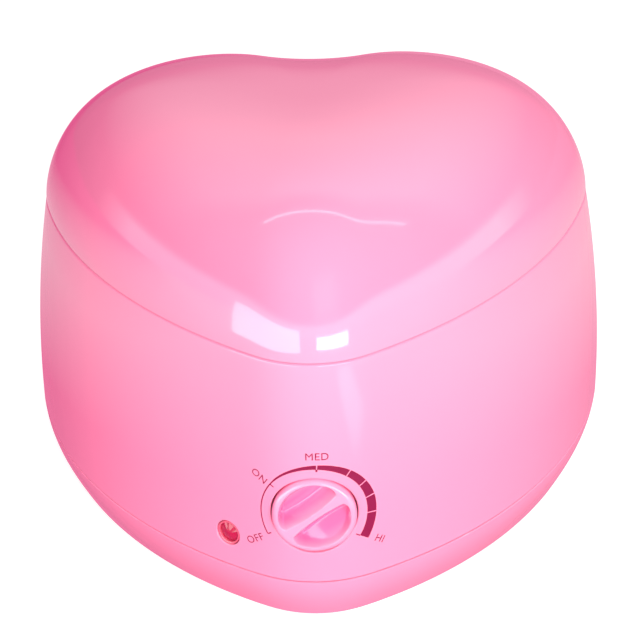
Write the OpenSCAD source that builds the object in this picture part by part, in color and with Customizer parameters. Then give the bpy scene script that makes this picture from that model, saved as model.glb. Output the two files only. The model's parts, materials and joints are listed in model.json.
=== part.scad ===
// Heart-shaped wax warmer pot: moulded body, lift-off lid, removable wax pot with a bail handle,
// heating well with a band heater, and a rotary thermostat behind a flush knob.
// Millimetres. +Z is up, -Y is the front. The origin is the middle of the footprint at foot level.

/* [Main sizes] */
// Width of the body across the lobes
body_w = 200; // [192:0.5:208]
// Depth of the body from the front tip to the back of the lobes
body_d = 168.75; // [163:0.25:174]
// Height of the base tray from its underside to the base line
tray_h = 15.7; // [14:0.1:20]
// Height of the body wall from the base line to the lid seam
body_h = 74.9; // [70:0.1:90]
// Rise of the lid's dome above the seam
dome_h = 50.1; // [49:0.1:60]

/* [Heart outline at the base line] */
// Radius of each lobe
base_lobe_r = 47.85; // [46:0.05:50]
// Radius of the front tip
base_tip_r = 37.2; // [35:0.1:40]
// Radius of the long side flanks
base_flank_r = 154.2; // [140:0.1:180]
// Radius of the notch between the lobes
base_notch_r = 72.9; // [66:0.1:80]

/* [Heart outline at the lid seam] */
// Lean of the sides: how far the seam stands in from the base line
side_lean = 7.55; // [6:0.05:9]
// Lean of the front tip
front_lean = 2.975; // [1:0.025:5]
// Lean of the lobes' backs
back_lean = 2.425; // [1:0.025:5]
// Outward swell of the side walls half way up
side_swell = 1.86; // [0:0.02:3]
// Radius of each lobe
seam_lobe_r = 42.85; // [41:0.05:44]
// Radius of the front tip
seam_tip_r = 29.3; // [27:0.1:32]
// Radius of the long side flanks
seam_flank_r = 178; // [160:1:220]
// Radius of the notch between the lobes
seam_notch_r = 77.9; // [70:0.1:90]

/* [Dome and deck] */
// Exponent of the dome's plan: higher is squarer at the shoulder
dome_plan_power = 3.44; // [2.8:0.02:4]
// Exponent of the dome's rise
dome_rise_power = 1.62; // [1.5:0.02:2]
// Depth of the deck below the lid seam
deck_drop = 11.5; // [11:0.1:16]

/* [Walls and gaps] */
// Wall of the body shell
wall = 2.8; // [2.2:0.1:3.2]
// Thickness of the deck round the pot
deck_t = 3; // [2.4:0.1:4]
// Width of the ledge in the body that carries the deck
ledge_w = 2.2; // [1.6:0.1:2.4]
// Wall of the lid's dome
lid_wall = 2.4; // [2:0.1:2.8]
// Floor of the base tray
tray_floor = 3; // [2.6:0.1:3.6]
// Width of the visible line between two mouldings
seam_gap = 0.3; // [0.2:0.05:0.5]
// Sideways clearance between a locating lip and the wall it slides in
lip_gap = 0.35; // [0.25:0.05:0.5]
// Thickness of the locating lips
lip_t = 1.6; // [1.2:0.1:2]
// Reach of the lid's lip below the seam
lid_lip = 3.5; // [2.5:0.1:5]
// Reach of the tray's lip above the base line
tray_lip = 3; // [2:0.1:4]
// Rounding of the body's top edge
rim_round = 0.8; // [0.4:0.1:1.2]
// Inward rounding of the base tray towards its underside
base_round = 4.9; // [3:0.1:6]

/* [Wax pot] */
// Distance of the pot's axis behind the origin
pot_y = 3; // [1:0.1:4]
// Wall of the wax pot
pot_wall = 1; // [0.8:0.05:1.4]
// Width of the pot's turned-out rim, from its inside
pot_rim_w = 6.2; // [5:0.1:7]
// Thickness of the pot's rim
pot_rim_t = 1.2; // [1:0.1:1.6]
// Radius of the pot's bottom corner
pot_corner_r = 5; // [3:0.5:8]
// Height of the bail's pivots above the pot's rim
bail_rise = 4.2; // [3.6:0.1:4.6]
// Distance of the bail's wire outside the pot's inside wall
bail_out = 2.5; // [2.2:0.1:2.8]
// Thickness of the bail's wire
bail_d = 3; // [2.4:0.1:3.2]
// Running clearance round the bail's pins
pin_clearance = 0.08; // [0.05:0.01:0.1]
// Thickness of the bail's ears
ear_t = 1.2; // [1:0.1:1.5]
// Width of the bail's ears
ear_w = 12; // [10:0.5:14]
// Reach of the ears below the pot's rim
ear_drop = 14; // [12:0.5:18]

/* [Heating well] */
// Clearance between the pot and the well
well_gap = 1.5; // [1:0.1:2]
// Wall of the well
well_wall = 1.2; // [1:0.1:1.5]
// Room between the well's flange and the body's inner wall
flange_margin = 4.2; // [3:0.1:6]
// Width of the well's flange
flange_w = 12.5; // [11.5:0.1:13.5]
// Room under the well for the safety thermostat
well_room = 9.8; // [9:0.1:12]
// Thickness of the silicone gasket under the flange
gasket_t = 1; // [0.8:0.1:1.5]
// Distance of the flange screws from the flange's edge
flange_screw_in = 4.2; // [3.4:0.1:4.6]
// Seat gap under the pot's rim and under its floor
seat_gap = 0.25; // [0.15:0.05:0.5]
// Height of the heater band's lower edge above the well's floor
band_lift = 9; // [6:0.5:14]
// Width of the heater band
band_h = 28; // [20:1:32]
// Thickness of the heater band
band_t = 2.2; // [1.8:0.1:2.6]
// Direction of the band's clamp, anticlockwise from the right
clamp_angle = 20; // [14:1:26]
// Thickness of the insulation sleeve
sleeve_t = 3; // [2.5:0.1:3.5]
// Height of the insulation sleeve
sleeve_h = 40; // [34:1:44]

/* [Dial] */
// Height of the knob's axis above the feet
dial_z = 41; // [39:0.5:44]
// Backward lean of the dial
dial_tilt = 3; // [1:0.5:4]
// Radius of the knob
knob_r = 12.7; // [11.5:0.1:13.5]
// Depth of the knob behind the wall's face
knob_depth = 9; // [8.5:0.1:10]
// How far the knob's face stands proud of the wall's middle
knob_proud = 0.4; // [0:0.1:1.5]
// Rounding of the knob's rim
knob_round = 1.6; // [1:0.1:2]
// Width of the finger bar across the knob
knob_bar = 3.4; // [3:0.1:4.5]
// Depth of the finger scoops beside the bar
scoop_depth = 5; // [3.5:0.1:5.5]
// Width of the rim round the scoops
knob_rim = 2.3; // [2:0.1:3]
// Radial gap between the knob and its well in the body
knob_gap = 0.3; // [0.3:0.05:0.5]
// Direction of the bar at OFF, clockwise from the top
off_angle = -128; // [-135:1:-120]
// Radius of the thermostat's spindle
spindle_r = 3; // [2.8:0.05:3.1]
// Distance of each thermostat screw from the knob's axis
plate_screw_x = 18.9; // [18.7:0.1:19]

/* [Indicator lamp] */
// Distance of the lamp to the left of the knob's axis
lamp_x = 26.65; // [25:0.05:28]
// Height of the lamp above the feet
lamp_z = 28.6; // [28:0.1:30]
// Radius of the lamp's window in the wall
lamp_hole_r = 4.15; // [3.5:0.05:4.5]
// Depth of the lens face behind the wall's face
lens_sink = 0.9; // [0.5:0.1:1.2]

/* [Base] */
// How far the rubber feet stand out under the tray
foot_proud = 1.5; // [1.2:0.1:2.5]
// Radius of the rubber feet
foot_r = 7; // [6:0.5:8]
// Depth of each foot's pocket in the tray
foot_pocket = 1.2; // [0.8:0.1:1.5]
// Height of the cord inlet above the feet
gland_z = 31; // [29:0.5:36]
// Radius of the cord inlet's bore
gland_bore_r = 3.3; // [2.8:0.1:3.6]

/* [Hidden] */
$fn = 72;

// Reach of a cut past the face that it opens
eps = 1;
// Reach of a cut or a rough block that something else trims
far = 20;
// Play between fixed parts that lie against each other
snug = 0.1;
// Play between two faces that are pulled together
touch = 0.02;
pink = [0.965, 0.56, 0.77];

// Levels from the feet up
tray_inside = foot_proud + tray_floor;
crease_z = foot_proud + tray_h;
seam_z = crease_z + body_h;
deck_z = seam_z - deck_drop;
deck_under = deck_z - deck_t;

// ---- Heart outline: arcs that meet tangentially --------------------------------------------

// A heart is [lobe x, lobe y, lobe r, tip y, tip r, flank r, notch r]
function heart_of(side, front, back, lobe_r, tip_r, flank_r, notch_r) =
    [side - lobe_r, back - lobe_r, lobe_r, front - tip_r, tip_r, flank_r, notch_r];
base_heart = heart_of(body_w / 2, body_d / 2, body_d / 2, base_lobe_r, base_tip_r, base_flank_r, base_notch_r);
seam_heart = heart_of(body_w / 2 - side_lean, body_d / 2 - front_lean, body_d / 2 - back_lean,
    seam_lobe_r, seam_tip_r, seam_flank_r, seam_notch_r);
swell_heart = [side_swell, 0, 0, 0, 0, 0, 0];

// Segments along the tip, flank, lobe and notch of one half of the heart
tip_steps = 6;
flank_steps = 7;
lobe_steps = 15;
notch_steps = 4;

function angle_of(v) = atan2(v[1], v[0]);
function arc(c, r, a0, a1, n) =
    [for (i = [0:n]) let (a = a0 + (a1 - a0) * i / n) c + r * [cos(a), sin(a)]];
function tail(list) = [for (i = [1:len(list) - 1]) list[i]];
function reversed(list) = [for (i = [len(list) - 1:-1:0]) list[i]];

// Centre of the flank arc that wraps both the tip arc and the lobe arc from outside
function flank_centre(h) =
    let (tip = [0, -h[3]], lobe = [h[0], h[1]], gap = lobe - tip, d = norm(gap))
    let (to_tip = h[5] - h[4], to_lobe = h[5] - h[2])
    let (along = (to_tip ^ 2 - to_lobe ^ 2 + d ^ 2) / (2 * d), across = sqrt(to_tip ^ 2 - along ^ 2))
    tip + along * gap / d + across * [-gap[1], gap[0]] / d;

// Centre of the notch arc, which touches both lobes from outside
function notch_centre(h) = [0, h[1] + sqrt((h[2] + h[6]) ^ 2 - h[0] ^ 2)];

// Right half, from the front tip round to the notch, grown outwards by off
function half_heart(h, off) =
    let (tip = [0, -h[3]], lobe = [h[0], h[1]], flank = flank_centre(h), notch = notch_centre(h))
    let (a_tip = angle_of(tip - flank), a_lobe = angle_of(lobe - flank), a_notch = angle_of(notch - lobe))
    concat(
        arc(tip, h[4] + off, -90, a_tip, tip_steps),
        tail(arc(flank, h[5] + off, a_tip, a_lobe, flank_steps)),
        tail(arc(lobe, h[2] + off, a_lobe, a_notch, lobe_steps)),
        tail(arc(notch, h[6] - off, a_notch - 180, -90, notch_steps)));

function heart(h, off) =
    let (half = half_heart(h, off), n = len(half))
    concat(half, [for (i = [n - 2:-1:1]) [-half[i][0], half[i][1]]]);

// The wall's section changes steadily from the seam down to the base line, and the tray keeps the last
function section_at(z) =
    let (t = min(1, max(0, (seam_z - z) / body_h)))
    (1 - t) * seam_heart + t * base_heart + 4 * t * (1 - t) * swell_heart;
function ring(z, off) = [for (p = heart(section_at(z), off)) [p[0], p[1], z]];
function front_y(z) = let (h = section_at(z)) -h[3] - h[4];
function back_y(z) = let (h = section_at(z)) notch_centre(h)[1] - h[6];

// Distance from a point inside the heart to the flank's arc
function flank_room(z, p) = let (h = section_at(z)) h[5] - norm(p - flank_centre(h));

// Point of the left flank at x, and the direction that the wall faces there
function flank_point(z, x) =
    let (h = section_at(z), c = flank_centre(h))
    [x, c[1] - sqrt(h[5] ^ 2 - (x + c[0]) ^ 2)];
function flank_facing(z, x) =
    let (c = flank_centre(section_at(z)), p = flank_point(z, x))
    atan2(x + c[0], c[1] - p[1]);

// One closed solid through a list of rings with equal point counts, capped at both ends
module loft(rings) {
    n = len(rings[0]);
    last = len(rings) - 1;
    points = [for (r = rings) for (p = r) p];
    sides = [for (i = [0:last - 1]) for (j = [0:n - 1])
        let (a = i * n + j, b = i * n + (j + 1) % n)
        each [[a, a + n, b + n], [a, b + n, b]]];
    start_cap = [for (j = [0:n - 1]) j];
    end_cap = [for (j = [n - 1:-1:0]) last * n + j];
    polyhedron(points, concat([start_cap], sides, [end_cap]), convexity = 8);
}

// ---- Small building blocks -------------------------------------------------------------------

// Cylinder about the Z axis from z0 up to z1
module rod(r, z0, z1) translate([0, 0, z0]) cylinder(r = r, h = z1 - z0);
module tube(r_out, r_in, z0, z1) difference() {
    rod(r_out, z0, z1);
    rod(r_in, z0 - eps, z1 + eps);
}
// Cylinder along X, centred
module cross_rod(r, length) rotate([0, 90, 0]) cylinder(r = r, h = length, center = true);
// Block centred in x and y, from z0 up to z1
module slab(w, d, z0, z1) translate([-w / 2, -d / 2, z0]) cube([w, d, z1 - z0]);
module left_and_right(x) for (s = [-1, 1]) translate([s * x, 0, 0]) children();
module front_and_back(y) for (s = [-1, 1]) translate([0, s * y, 0]) children();

// Pan-headed screw that points down from z = 0, with a cross slot in its head
module pan_screw(r, head_r, length) {
    head_h = 0.62 * head_r;
    slot_w = 0.28 * head_r;
    slot_l = 1.1 * head_r;
    slot_z = 0.4 * head_h;
    difference() {
        union() {
            rod(r, -length, snug);
            rotate_extrude() polygon([
                [0, 0], [head_r, 0], [head_r, 0.35 * head_h],
                [0.86 * head_r, 0.75 * head_h], [0.5 * head_r, head_h], [0, head_h]]);
        }
        for (a = [0, 90]) rotate(a) slab(slot_w, slot_l, slot_z, head_h + eps);
    }
}

// Hexagon nut for a thread of radius r, standing on z = 0
module hex_nut(r, corners, h) difference() {
    cylinder(d = corners, h = h, $fn = 6);
    rod(r + touch, -eps, h + eps);
}

// Lead: a round tube swept along a smooth curve through its route
function curve_point(p, i, t) =
    let (n = len(p) - 1, a = p[max(0, i - 1)], b = p[i], c = p[min(n, i + 1)], d = p[min(n, i + 2)])
    0.5 * (2 * b + t * (c - a) + t ^ 2 * (2 * a - 5 * b + 4 * c - d) + t ^ 3 * (3 * b - a - 3 * c + d));
function curve_through(p, steps) = concat(
    [for (i = [0:len(p) - 2]) for (k = [0:steps - 1]) curve_point(p, i, k / steps)],
    [p[len(p) - 1]]);
function unit(v) = v / norm(v);
function square_to(t, u) = unit(u - (u * t) * t);
// Sideways directions that turn as little as they can from one ring to the next
function carried(ts, u, i = 0) =
    i == len(ts) ? [] : let (v = square_to(ts[i], u)) concat([v], carried(ts, v, i + 1));
lead_steps = 4;
lead_sides = 8;
module lead(route, r) {
    c = curve_through(route, lead_steps);
    n = len(c) - 1;
    ts = [for (i = [0:n]) unit(c[min(n, i + 1)] - c[max(0, i - 1)])];
    first = abs(ts[0][2]) < 0.8 ? [0, 0, 1] : [1, 0, 0];
    us = carried(ts, first);
    loft([for (i = [0:n]) let (u = us[i], w = cross(ts[i], u))
        [for (k = [0:lead_sides - 1]) let (a = 360 * k / lead_sides) c[i] + r * (cos(a) * u + sin(a) * w)]]);
}

// ---- Places and sizes that several parts share --------------------------------------------

dial_y = front_y(dial_z);
// Stands on the wall at the knob's axis: +Z out of the wall, +Y up the wall
module on_dial() translate([0, dial_y, dial_z]) rotate([90 - dial_tilt, 0, 0]) children();
lamp_y = flank_point(lamp_z, -lamp_x)[1];
lamp_facing = flank_facing(lamp_z, -lamp_x);
// The same at the indicator lamp
module on_lamp() translate([-lamp_x, lamp_y, lamp_z]) rotate([90 - dial_tilt, 0, lamp_facing]) children();
// Stands on the wall at the cord inlet: +Z out of the wall
module on_back() translate([0, back_y(gland_z), gland_z]) rotate([-90, 0, 0]) children();
module at_pot_axis() translate([0, pot_y, 0]) children();

// Knob and its cup in the body
cup_r = knob_r + knob_gap;
cup_wall = 2.2;
cup_floor = 2.4;
cup_back = knob_depth + 0.4;
plate_z = -(cup_back + cup_floor);
spindle_play = 0.4;

// Indicator lamp and its seat in the body
lamp_r = 5.3;
seat_wall = 1.6;
seat_len = 9;

// Cord inlet
gland_neck_r = gland_bore_r + 2.6;

// Places of the screw posts and of the feet, from the lobe's centre, the flank or the tip's centre
lobe_post = [18, 11.5];
flank_post = [46, 23.4];
lobe_foot = [-4, 23.5];
tip_foot = [24, -7];
base_lobe = [base_heart[0], base_heart[1]];
base_tip = [0, -base_heart[3]];
post_places = [base_lobe + lobe_post,
    [flank_post[0], flank_point(crease_z, -flank_post[0])[1] + flank_post[1]]];
foot_places = [base_lobe + lobe_foot, base_tip + tip_foot];
module at_posts() for (s = [-1, 1], p = post_places) translate([s * p[0], p[1], 0]) children();
module at_feet() for (s = [-1, 1], p = foot_places) translate([s * p[0], p[1], 0]) children();
module at_flange_screws() at_pot_axis()
    for (a = [45:90:315]) rotate(a) translate([flange_screw_pcr, 0, 0]) children();

// Screws
screw_clear = 0.1;
base_screw_r = 1.6;
base_screw_head_r = 3.2;
base_screw_len = 18;
flange_screw_r = 1.5;
flange_screw_head_r = 2.6;
flange_screw_len = 9;
plate_screw_r = 1.2;
plate_screw_head_r = 2.6;
plate_screw_grip = 3.6;
clamp_screw_r = 1.5;
clamp_screw_head_r = 2.7;
m3_nut_corners = 6.3;
m3_nut_h = 2.4;
post_r = 4.2;
plate_boss_r = 3.4;
flange_boss_r = 3.8;

// Levels of the pot and its well
room_to_wall = min(flank_room(deck_z, [0, pot_y]), back_y(deck_z) - pot_y);
flange_r = room_to_wall - wall - flange_margin;
flange_screw_pcr = flange_r - flange_screw_in;
well_r = flange_r - flange_w;
well_out = well_r + well_wall;
pot_r = well_r - well_gap - pot_wall;
pot_rim_r = pot_r + pot_rim_w;
bail_r = pot_r + bail_out;
flange_z = deck_z + gasket_t;
flange_top = flange_z + well_wall;
pot_rim_z = flange_top + seat_gap;
pot_top = pot_rim_z + pot_rim_t;
well_bottom = tray_inside + well_room;
well_floor = well_bottom + well_wall;
pot_bottom = well_floor + seat_gap;
opening_r = well_out + 0.8;
bail_z = pot_top + bail_rise;
ear_out = pot_r - snug;
ear_in = ear_out - ear_t;
band_r = well_out + snug;
band_z = well_floor + band_lift;

// ---- Body shell -------------------------------------------------------------------------------

// Small bevel that marks the edge of a moulding beside a seam
edge_bevel = 0.3;
body_rings = 8;
hollow_rings = 6;
module body_skin() {
    z0 = crease_z + seam_gap / 2;
    z1 = seam_z - seam_gap / 2;
    low = z0 + edge_bevel;
    high = z1 - rim_round;
    loft(concat(
        [ring(z0, -edge_bevel)],
        [for (i = [0:body_rings]) ring(low + (high - low) * i / body_rings, 0)],
        [for (a = [30:30:90]) ring(high + rim_round * sin(a), -rim_round * (1 - cos(a)))]));
}
// Inside of the body, with the ledge that the deck lies on
ledge_h = 2.4;
module body_hollow() {
    low = crease_z - eps;
    ledge_low = deck_under - ledge_h;
    ledge_top = deck_under - touch;
    loft(concat(
        [for (i = [0:hollow_rings]) ring(low + (ledge_low - low) * i / hollow_rings, -wall)],
        [ring(ledge_low + ledge_w / 2, -wall - ledge_w), ring(ledge_top, -wall - ledge_w)],
        [for (z = [ledge_top, deck_z, seam_z + eps]) ring(z, -wall)]));
}
// Stock that the hollow leaves standing: the dial's cup and the lamp's seat
module body_bosses() {
    on_dial() {
        rod(cup_r + cup_wall, plate_z, far);
        left_and_right(plate_screw_x) rod(plate_boss_r, plate_z, far);
    }
    on_lamp() rod(lamp_r + snug + seat_wall, -seat_len, far);
}
module body_bores() {
    on_dial() {
        rod(cup_r, -cup_back, far);
        rod(spindle_r + spindle_play, plate_z - eps, 0);
        left_and_right(plate_screw_x)
            rod(plate_screw_r + screw_clear, plate_z - eps, plate_z + plate_screw_grip + screw_play);
    }
    on_lamp() {
        rod(lamp_hole_r, -seat_len - eps, far);
        rod(lamp_r + snug, -seat_len - eps, -wall);
    }
    on_back() rod(gland_neck_r + snug, -far / 2, far / 2);
}
// Room past a screw's point in its hole
screw_play = 0.4;
module housing() color(pink) difference() {
    body_skin();
    difference() {
        body_hollow();
        body_bosses();
    }
    body_bores();
}

// ---- Deck: a plate on the body's ledge, drawn down by the screws that come up through the tray -------

flange_boss_h = 8;
post_bore = 17;
module deck() color(pink) difference() {
    union() {
        loft([for (z = [deck_under, deck_z]) ring(z, -wall - snug)]);
        at_posts() rod(post_r, crease_z + seam_gap / 2, deck_under + snug);
        at_flange_screws() rod(flange_boss_r, deck_under - flange_boss_h, deck_under + snug);
    }
    at_pot_axis() rod(opening_r, deck_under - eps, deck_z + eps);
    at_posts() rod(base_screw_r + screw_clear, crease_z - eps, crease_z + post_bore);
    at_flange_screws() rod(flange_screw_r + screw_clear, deck_under - flange_boss_h + eps, deck_z + eps);
}

// ---- Lid: a superellipse dome over the seam's outline --------------------------------------

dome_mid = (front_lean - back_lean) / 2;
dome_rings = 14;
dome_inner_rings = 10;
dome_inner_start = 14;
crown = 0.1;
// Ring of the dome at the angle a, 0 at the seam and 90 at the crown
function dome_ring(a, off, rise) =
    let (s = max(crown, cos(a) ^ (2 / dome_plan_power)), h = sin(a) ^ (2 / dome_rise_power))
    [for (p = heart(seam_heart, off)) [s * p[0], dome_mid + s * (p[1] - dome_mid), seam_z + rise * h]];
lip_out = -(wall + lip_gap);
lip_in = lip_out - lip_t;
lip_bevel = 0.4;
module lid() color(pink) {
    edge = seam_z + seam_gap / 2;
    lip_end = seam_z - lid_lip;
    inner_step = (90 - dome_inner_start) / dome_inner_rings;
    loft(concat(
        [for (i = [dome_inner_rings:-1:0])
            dome_ring(dome_inner_start + inner_step * i, -lid_wall, dome_h - lid_wall)],
        [ring(seam_z + lid_wall, lip_in), ring(lip_end + lip_bevel, lip_in)],
        [ring(lip_end, lip_in + lip_bevel)],
        [ring(lip_end, lip_out - lip_bevel), ring(lip_end + lip_bevel, lip_out), ring(edge, lip_out)],
        [ring(edge, -edge_bevel)],
        [for (i = [1:dome_rings]) dome_ring(90 * (i / dome_rings) ^ 1.35, 0, dome_h)]));
}

// ---- Base tray: a dish that closes the body from below --------------------------------------

tray_rings = 5;
tray_post_r = 5.2;
tray_post_top = crease_z - seam_gap / 2;
screw_seat_z = foot_proud + 5.5;
vent_w = 3;
vent_l = 26;
vent_x = 24;
vent_rows = 5;
vent_pitch = 12;
vent_front = -18;
pillar_r = 2.6;
module tray_skin() {
    top = crease_z - seam_gap / 2;
    loft(concat(
        [for (i = [0:tray_rings - 1]) let (a = 90 * i / tray_rings)
            ring(foot_proud + tray_h * i / tray_rings, -base_round * (1 - sin(a)))],
        [ring(top - edge_bevel, 0), ring(top, -edge_bevel), ring(top, lip_out)],
        [ring(crease_z + tray_lip, lip_out), ring(crease_z + tray_lip, lip_in)],
        [ring(foot_proud + tray_h / 2, lip_in), ring(tray_inside, lip_in - base_round + eps)]));
}
module vent() {
    run = vent_l - vent_w;
    left_and_right(run / 2) rod(vent_w / 2, foot_proud - eps, tray_inside + eps);
    slab(run, vent_w, foot_proud - eps, tray_inside + eps);
}
module at_vents() for (s = [-1, 1], i = [0:vent_rows - 1])
    translate([s * vent_x, vent_front + vent_pitch * i, 0]) children();
module base_tray() color(0.94 * pink) difference() {
    union() {
        tray_skin();
        at_posts() rod(tray_post_r, foot_proud + tray_floor / 2, tray_post_top);
        at_block() left_and_right(block_pitch / 2) rod(pillar_r, foot_proud + tray_floor / 2, block_z);
    }
    at_posts() {
        rod(base_screw_head_r + 0.4, -eps, screw_seat_z);
        rod(base_screw_r + screw_clear, foot_proud, crease_z + far);
    }
    at_feet() rod(foot_r + snug, foot_proud - eps, foot_proud + foot_pocket);
    at_vents() vent();
    at_block() left_and_right(block_pitch / 2)
        rod(block_screw_r + screw_clear, foot_proud + eps, block_z + eps);
}

module rubber_feet() color("dimgray") {
    top = foot_proud + foot_pocket - snug;
    at_feet() rotate_extrude() polygon([[0, 0], [foot_r - 1, 0], [foot_r - 0.4, 0.4], [foot_r, 1],
        [foot_r, top], [0, top]]);
}

module base_screws() color("silver") at_posts() translate([0, 0, screw_seat_z - snug / 2])
    rotate([180, 0, 0]) pan_screw(base_screw_r, base_screw_head_r, base_screw_len);

// ---- Heating well --------------------------------------------------------------------------------

// Half section of a cup with a turned-out rim: outside, rim, then inside. r is the inside radius
corner_steps = 5;
function cup_profile(r, t, z0, z1, corner, rim_r, rim_t) =
    let (b = edge_bevel, centre = [r + t - corner, z0 + corner], lead_in = 0.5)
    concat(
        [[0, z0]],
        arc(centre, corner, -90, 0, corner_steps),
        [[r + t, z1 - rim_t], [rim_r - b, z1 - rim_t]],
        [[rim_r, z1 - rim_t + b], [rim_r, z1 - b], [rim_r - b, z1]],
        [[r + lead_in, z1], [r, z1 - lead_in]],
        reversed(arc(centre, corner - t, -90, 0, corner_steps)),
        [[0, z0 + t]]);

well_corner_r = 6;
stud_y = 10;
stud_r = 1.5;
stud_len = 5;
module heating_well() color("gainsboro") difference() {
    at_pot_axis() {
        rotate_extrude() polygon(cup_profile(
            well_r, well_wall, well_bottom, flange_top, well_corner_r, flange_r, well_wall));
        front_and_back(stud_y) rod(stud_r, well_bottom - stud_len, well_bottom + well_wall / 2);
    }
    at_flange_screws() rod(flange_screw_r + 2 * screw_clear, flange_z - eps, flange_top + eps);
}

module well_gasket() color("white") difference() {
    at_pot_axis() tube(flange_r - 0.5, opening_r, deck_z, deck_z + gasket_t);
    at_flange_screws() rod(flange_screw_r + 4 * screw_clear, deck_z - eps, flange_z + eps);
}

module well_screws() color("silver") at_flange_screws() translate([0, 0, flange_top])
    pan_screw(flange_screw_r, flange_screw_head_r, flange_screw_len);

// Band heater: a split band with a clamp ear at each end and two terminals
clamp_gap = 6.4;
clamp_reach = 9;
clamp_ear_t = 1.2;
clamp_ear_h = 12;
clamp_z = band_z + band_h / 2;
clamp_screw_x = band_r + clamp_reach - 3;
clamp_half = asin(clamp_gap / 2 / band_r);
terminal_turn = 12;
terminal_r = 1.8;
terminal_out = 5;
module at_clamp() at_pot_axis() rotate(clamp_angle) children();
module heater_band() color("goldenrod") at_clamp() {
    difference() {
        union() {
            rotate(clamp_half) rotate_extrude(angle = 360 - 2 * clamp_half)
                translate([band_r, band_z]) square([band_t, band_h]);
            front_and_back((clamp_gap + clamp_ear_t) / 2)
                translate([band_r + edge_bevel + clamp_reach / 2, 0, clamp_z - clamp_ear_h / 2])
                slab(clamp_reach, clamp_ear_t, 0, clamp_ear_h);
        }
        translate([clamp_screw_x, 0, clamp_z]) rotate([90, 0, 0])
            cylinder(r = clamp_screw_r + screw_clear, h = far, center = true);
    }
    for (s = [-1, 1]) rotate(s * terminal_turn) translate([0, 0, clamp_z]) rotate([0, 90, 0])
        rod(terminal_r, band_r + band_t / 2, band_r + band_t + terminal_out);
}

module band_clamp_screw() color("silver") at_clamp() translate([clamp_screw_x, 0, clamp_z]) {
    half = clamp_gap / 2 + clamp_ear_t + snug / 2;
    translate([0, half, 0]) rotate([-90, 0, 0])
        pan_screw(clamp_screw_r, clamp_screw_head_r, 2 * half + m3_nut_h + 0.8);
    translate([0, -half, 0]) rotate([90, 0, 0]) hex_nut(clamp_screw_r, m3_nut_corners, m3_nut_h);
}

sleeve_open = 24;
sleeve_r = band_r + band_t + 0.3;
sleeve_z = band_z + (band_h - sleeve_h) / 2 + 2;
module insulation_sleeve() color("ivory") at_clamp() rotate(sleeve_open)
    rotate_extrude(angle = 360 - 2 * sleeve_open)
    translate([sleeve_r, sleeve_z]) square([sleeve_t, sleeve_h]);

// Safety thermostat under the well, on the well's two studs
cutout_r = 7;
cutout_h = 6;
cutout_top = well_bottom - snug / 2;
strap_w = 8;
strap_t = 0.8;
tab_w = 5;
tab_l = 6;
tab_t = 0.8;
cutout_tab_z = cutout_top - cutout_h + 0.4;
module thermal_cutout() color("tan") at_pot_axis() difference() {
    union() {
        translate([0, 0, cutout_top - cutout_h]) rotate_extrude()
            polygon([[0, 0], [cutout_r - 0.5, 0], [cutout_r, 0.5], [cutout_r, cutout_h], [0, cutout_h]]);
        slab(strap_w, 2 * stud_y, cutout_top - strap_t, cutout_top);
        front_and_back(stud_y) rod(strap_w / 2, cutout_top - strap_t, cutout_top);
        slab(2 * (cutout_r + tab_l), tab_w, cutout_tab_z, cutout_tab_z + tab_t);
    }
    front_and_back(stud_y) rod(stud_r + 0.2, cutout_top - strap_t - eps, cutout_top + eps);
}

tag_t = 0.6;
tag_r = 2.8;
tag_l = 7;
tag_w = 2.6;
tag_z = cutout_top - strap_t - touch;
module earth_tag() color("gold") translate([0, pot_y - stud_y, 0]) difference() {
    union() {
        rod(tag_r, tag_z - tag_t, tag_z);
        translate([tag_l / 2, 0, 0]) slab(tag_l, tag_w, tag_z - tag_t, tag_z);
    }
    rod(stud_r + snug, tag_z - tag_t - eps, tag_z + eps);
}

module cutout_nuts() color("silver") at_pot_axis() for (s = [-1, 1])
    translate([0, s * stud_y, tag_z - (s < 0 ? tag_t + touch : 0) - m3_nut_h])
    hex_nut(stud_r, m3_nut_corners, m3_nut_h);

// ---- Wax pot ----------------------------------------------------------------------------------------

rivet_r = 1.2;
rivet_levels = [-4.5, -10.5];
module rivet_holes() for (z = rivet_levels) translate([0, pot_y, pot_top + z])
    cross_rod(rivet_r + snug / 2, 3 * pot_r);
module wax_pot() color("lightgray") difference() {
    at_pot_axis() rotate_extrude() polygon(cup_profile(
        pot_r, pot_wall, pot_bottom, pot_top, pot_corner_r, pot_rim_r, pot_rim_t));
    rivet_holes();
}

// Each ear is a strip of sheet that follows the pot's inside wall
module pot_ears() color("silver") intersection() {
    at_pot_axis() tube(ear_out, ear_in, pot_top - ear_drop - eps, bail_z + ear_w);
    difference() {
        at_pot_axis() left_and_right(pot_r) {
            slab(far, ear_w, pot_top - ear_drop, bail_z - ear_crown);
            translate([0, 0, bail_z - ear_crown]) cross_rod(ear_w / 2, far);
        }
        translate([0, pot_y, bail_z]) cross_rod(bail_d / 2 + pin_clearance, 3 * pot_r);
        rivet_holes();
    }
}
// The ear's round top is centred this far below the bail's pin
ear_crown = 2;

rivet_head_r = 2.2;
rivet_head_h = 0.9;
module rivet_head() rotate_extrude() polygon([
    [0, 0], [rivet_head_r, 0], [0.9 * rivet_head_r, 0.45 * rivet_head_h],
    [0.64 * rivet_head_r, 0.83 * rivet_head_h], [0, rivet_head_h]]);
module pot_rivets() color("silver") for (s = [-1, 1], z = rivet_levels)
    translate([0, pot_y, pot_top + z]) rotate([0, s * 90, 0]) {
        inside = ear_in - snug / 2;
        outside = pot_r + pot_wall + snug / 2;
        rod(rivet_r, inside - rivet_head_h / 2, outside + rivet_head_h / 2);
        translate([0, 0, inside]) rotate([180, 0, 0]) rivet_head();
        translate([0, 0, outside]) rivet_head();
    }

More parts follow.
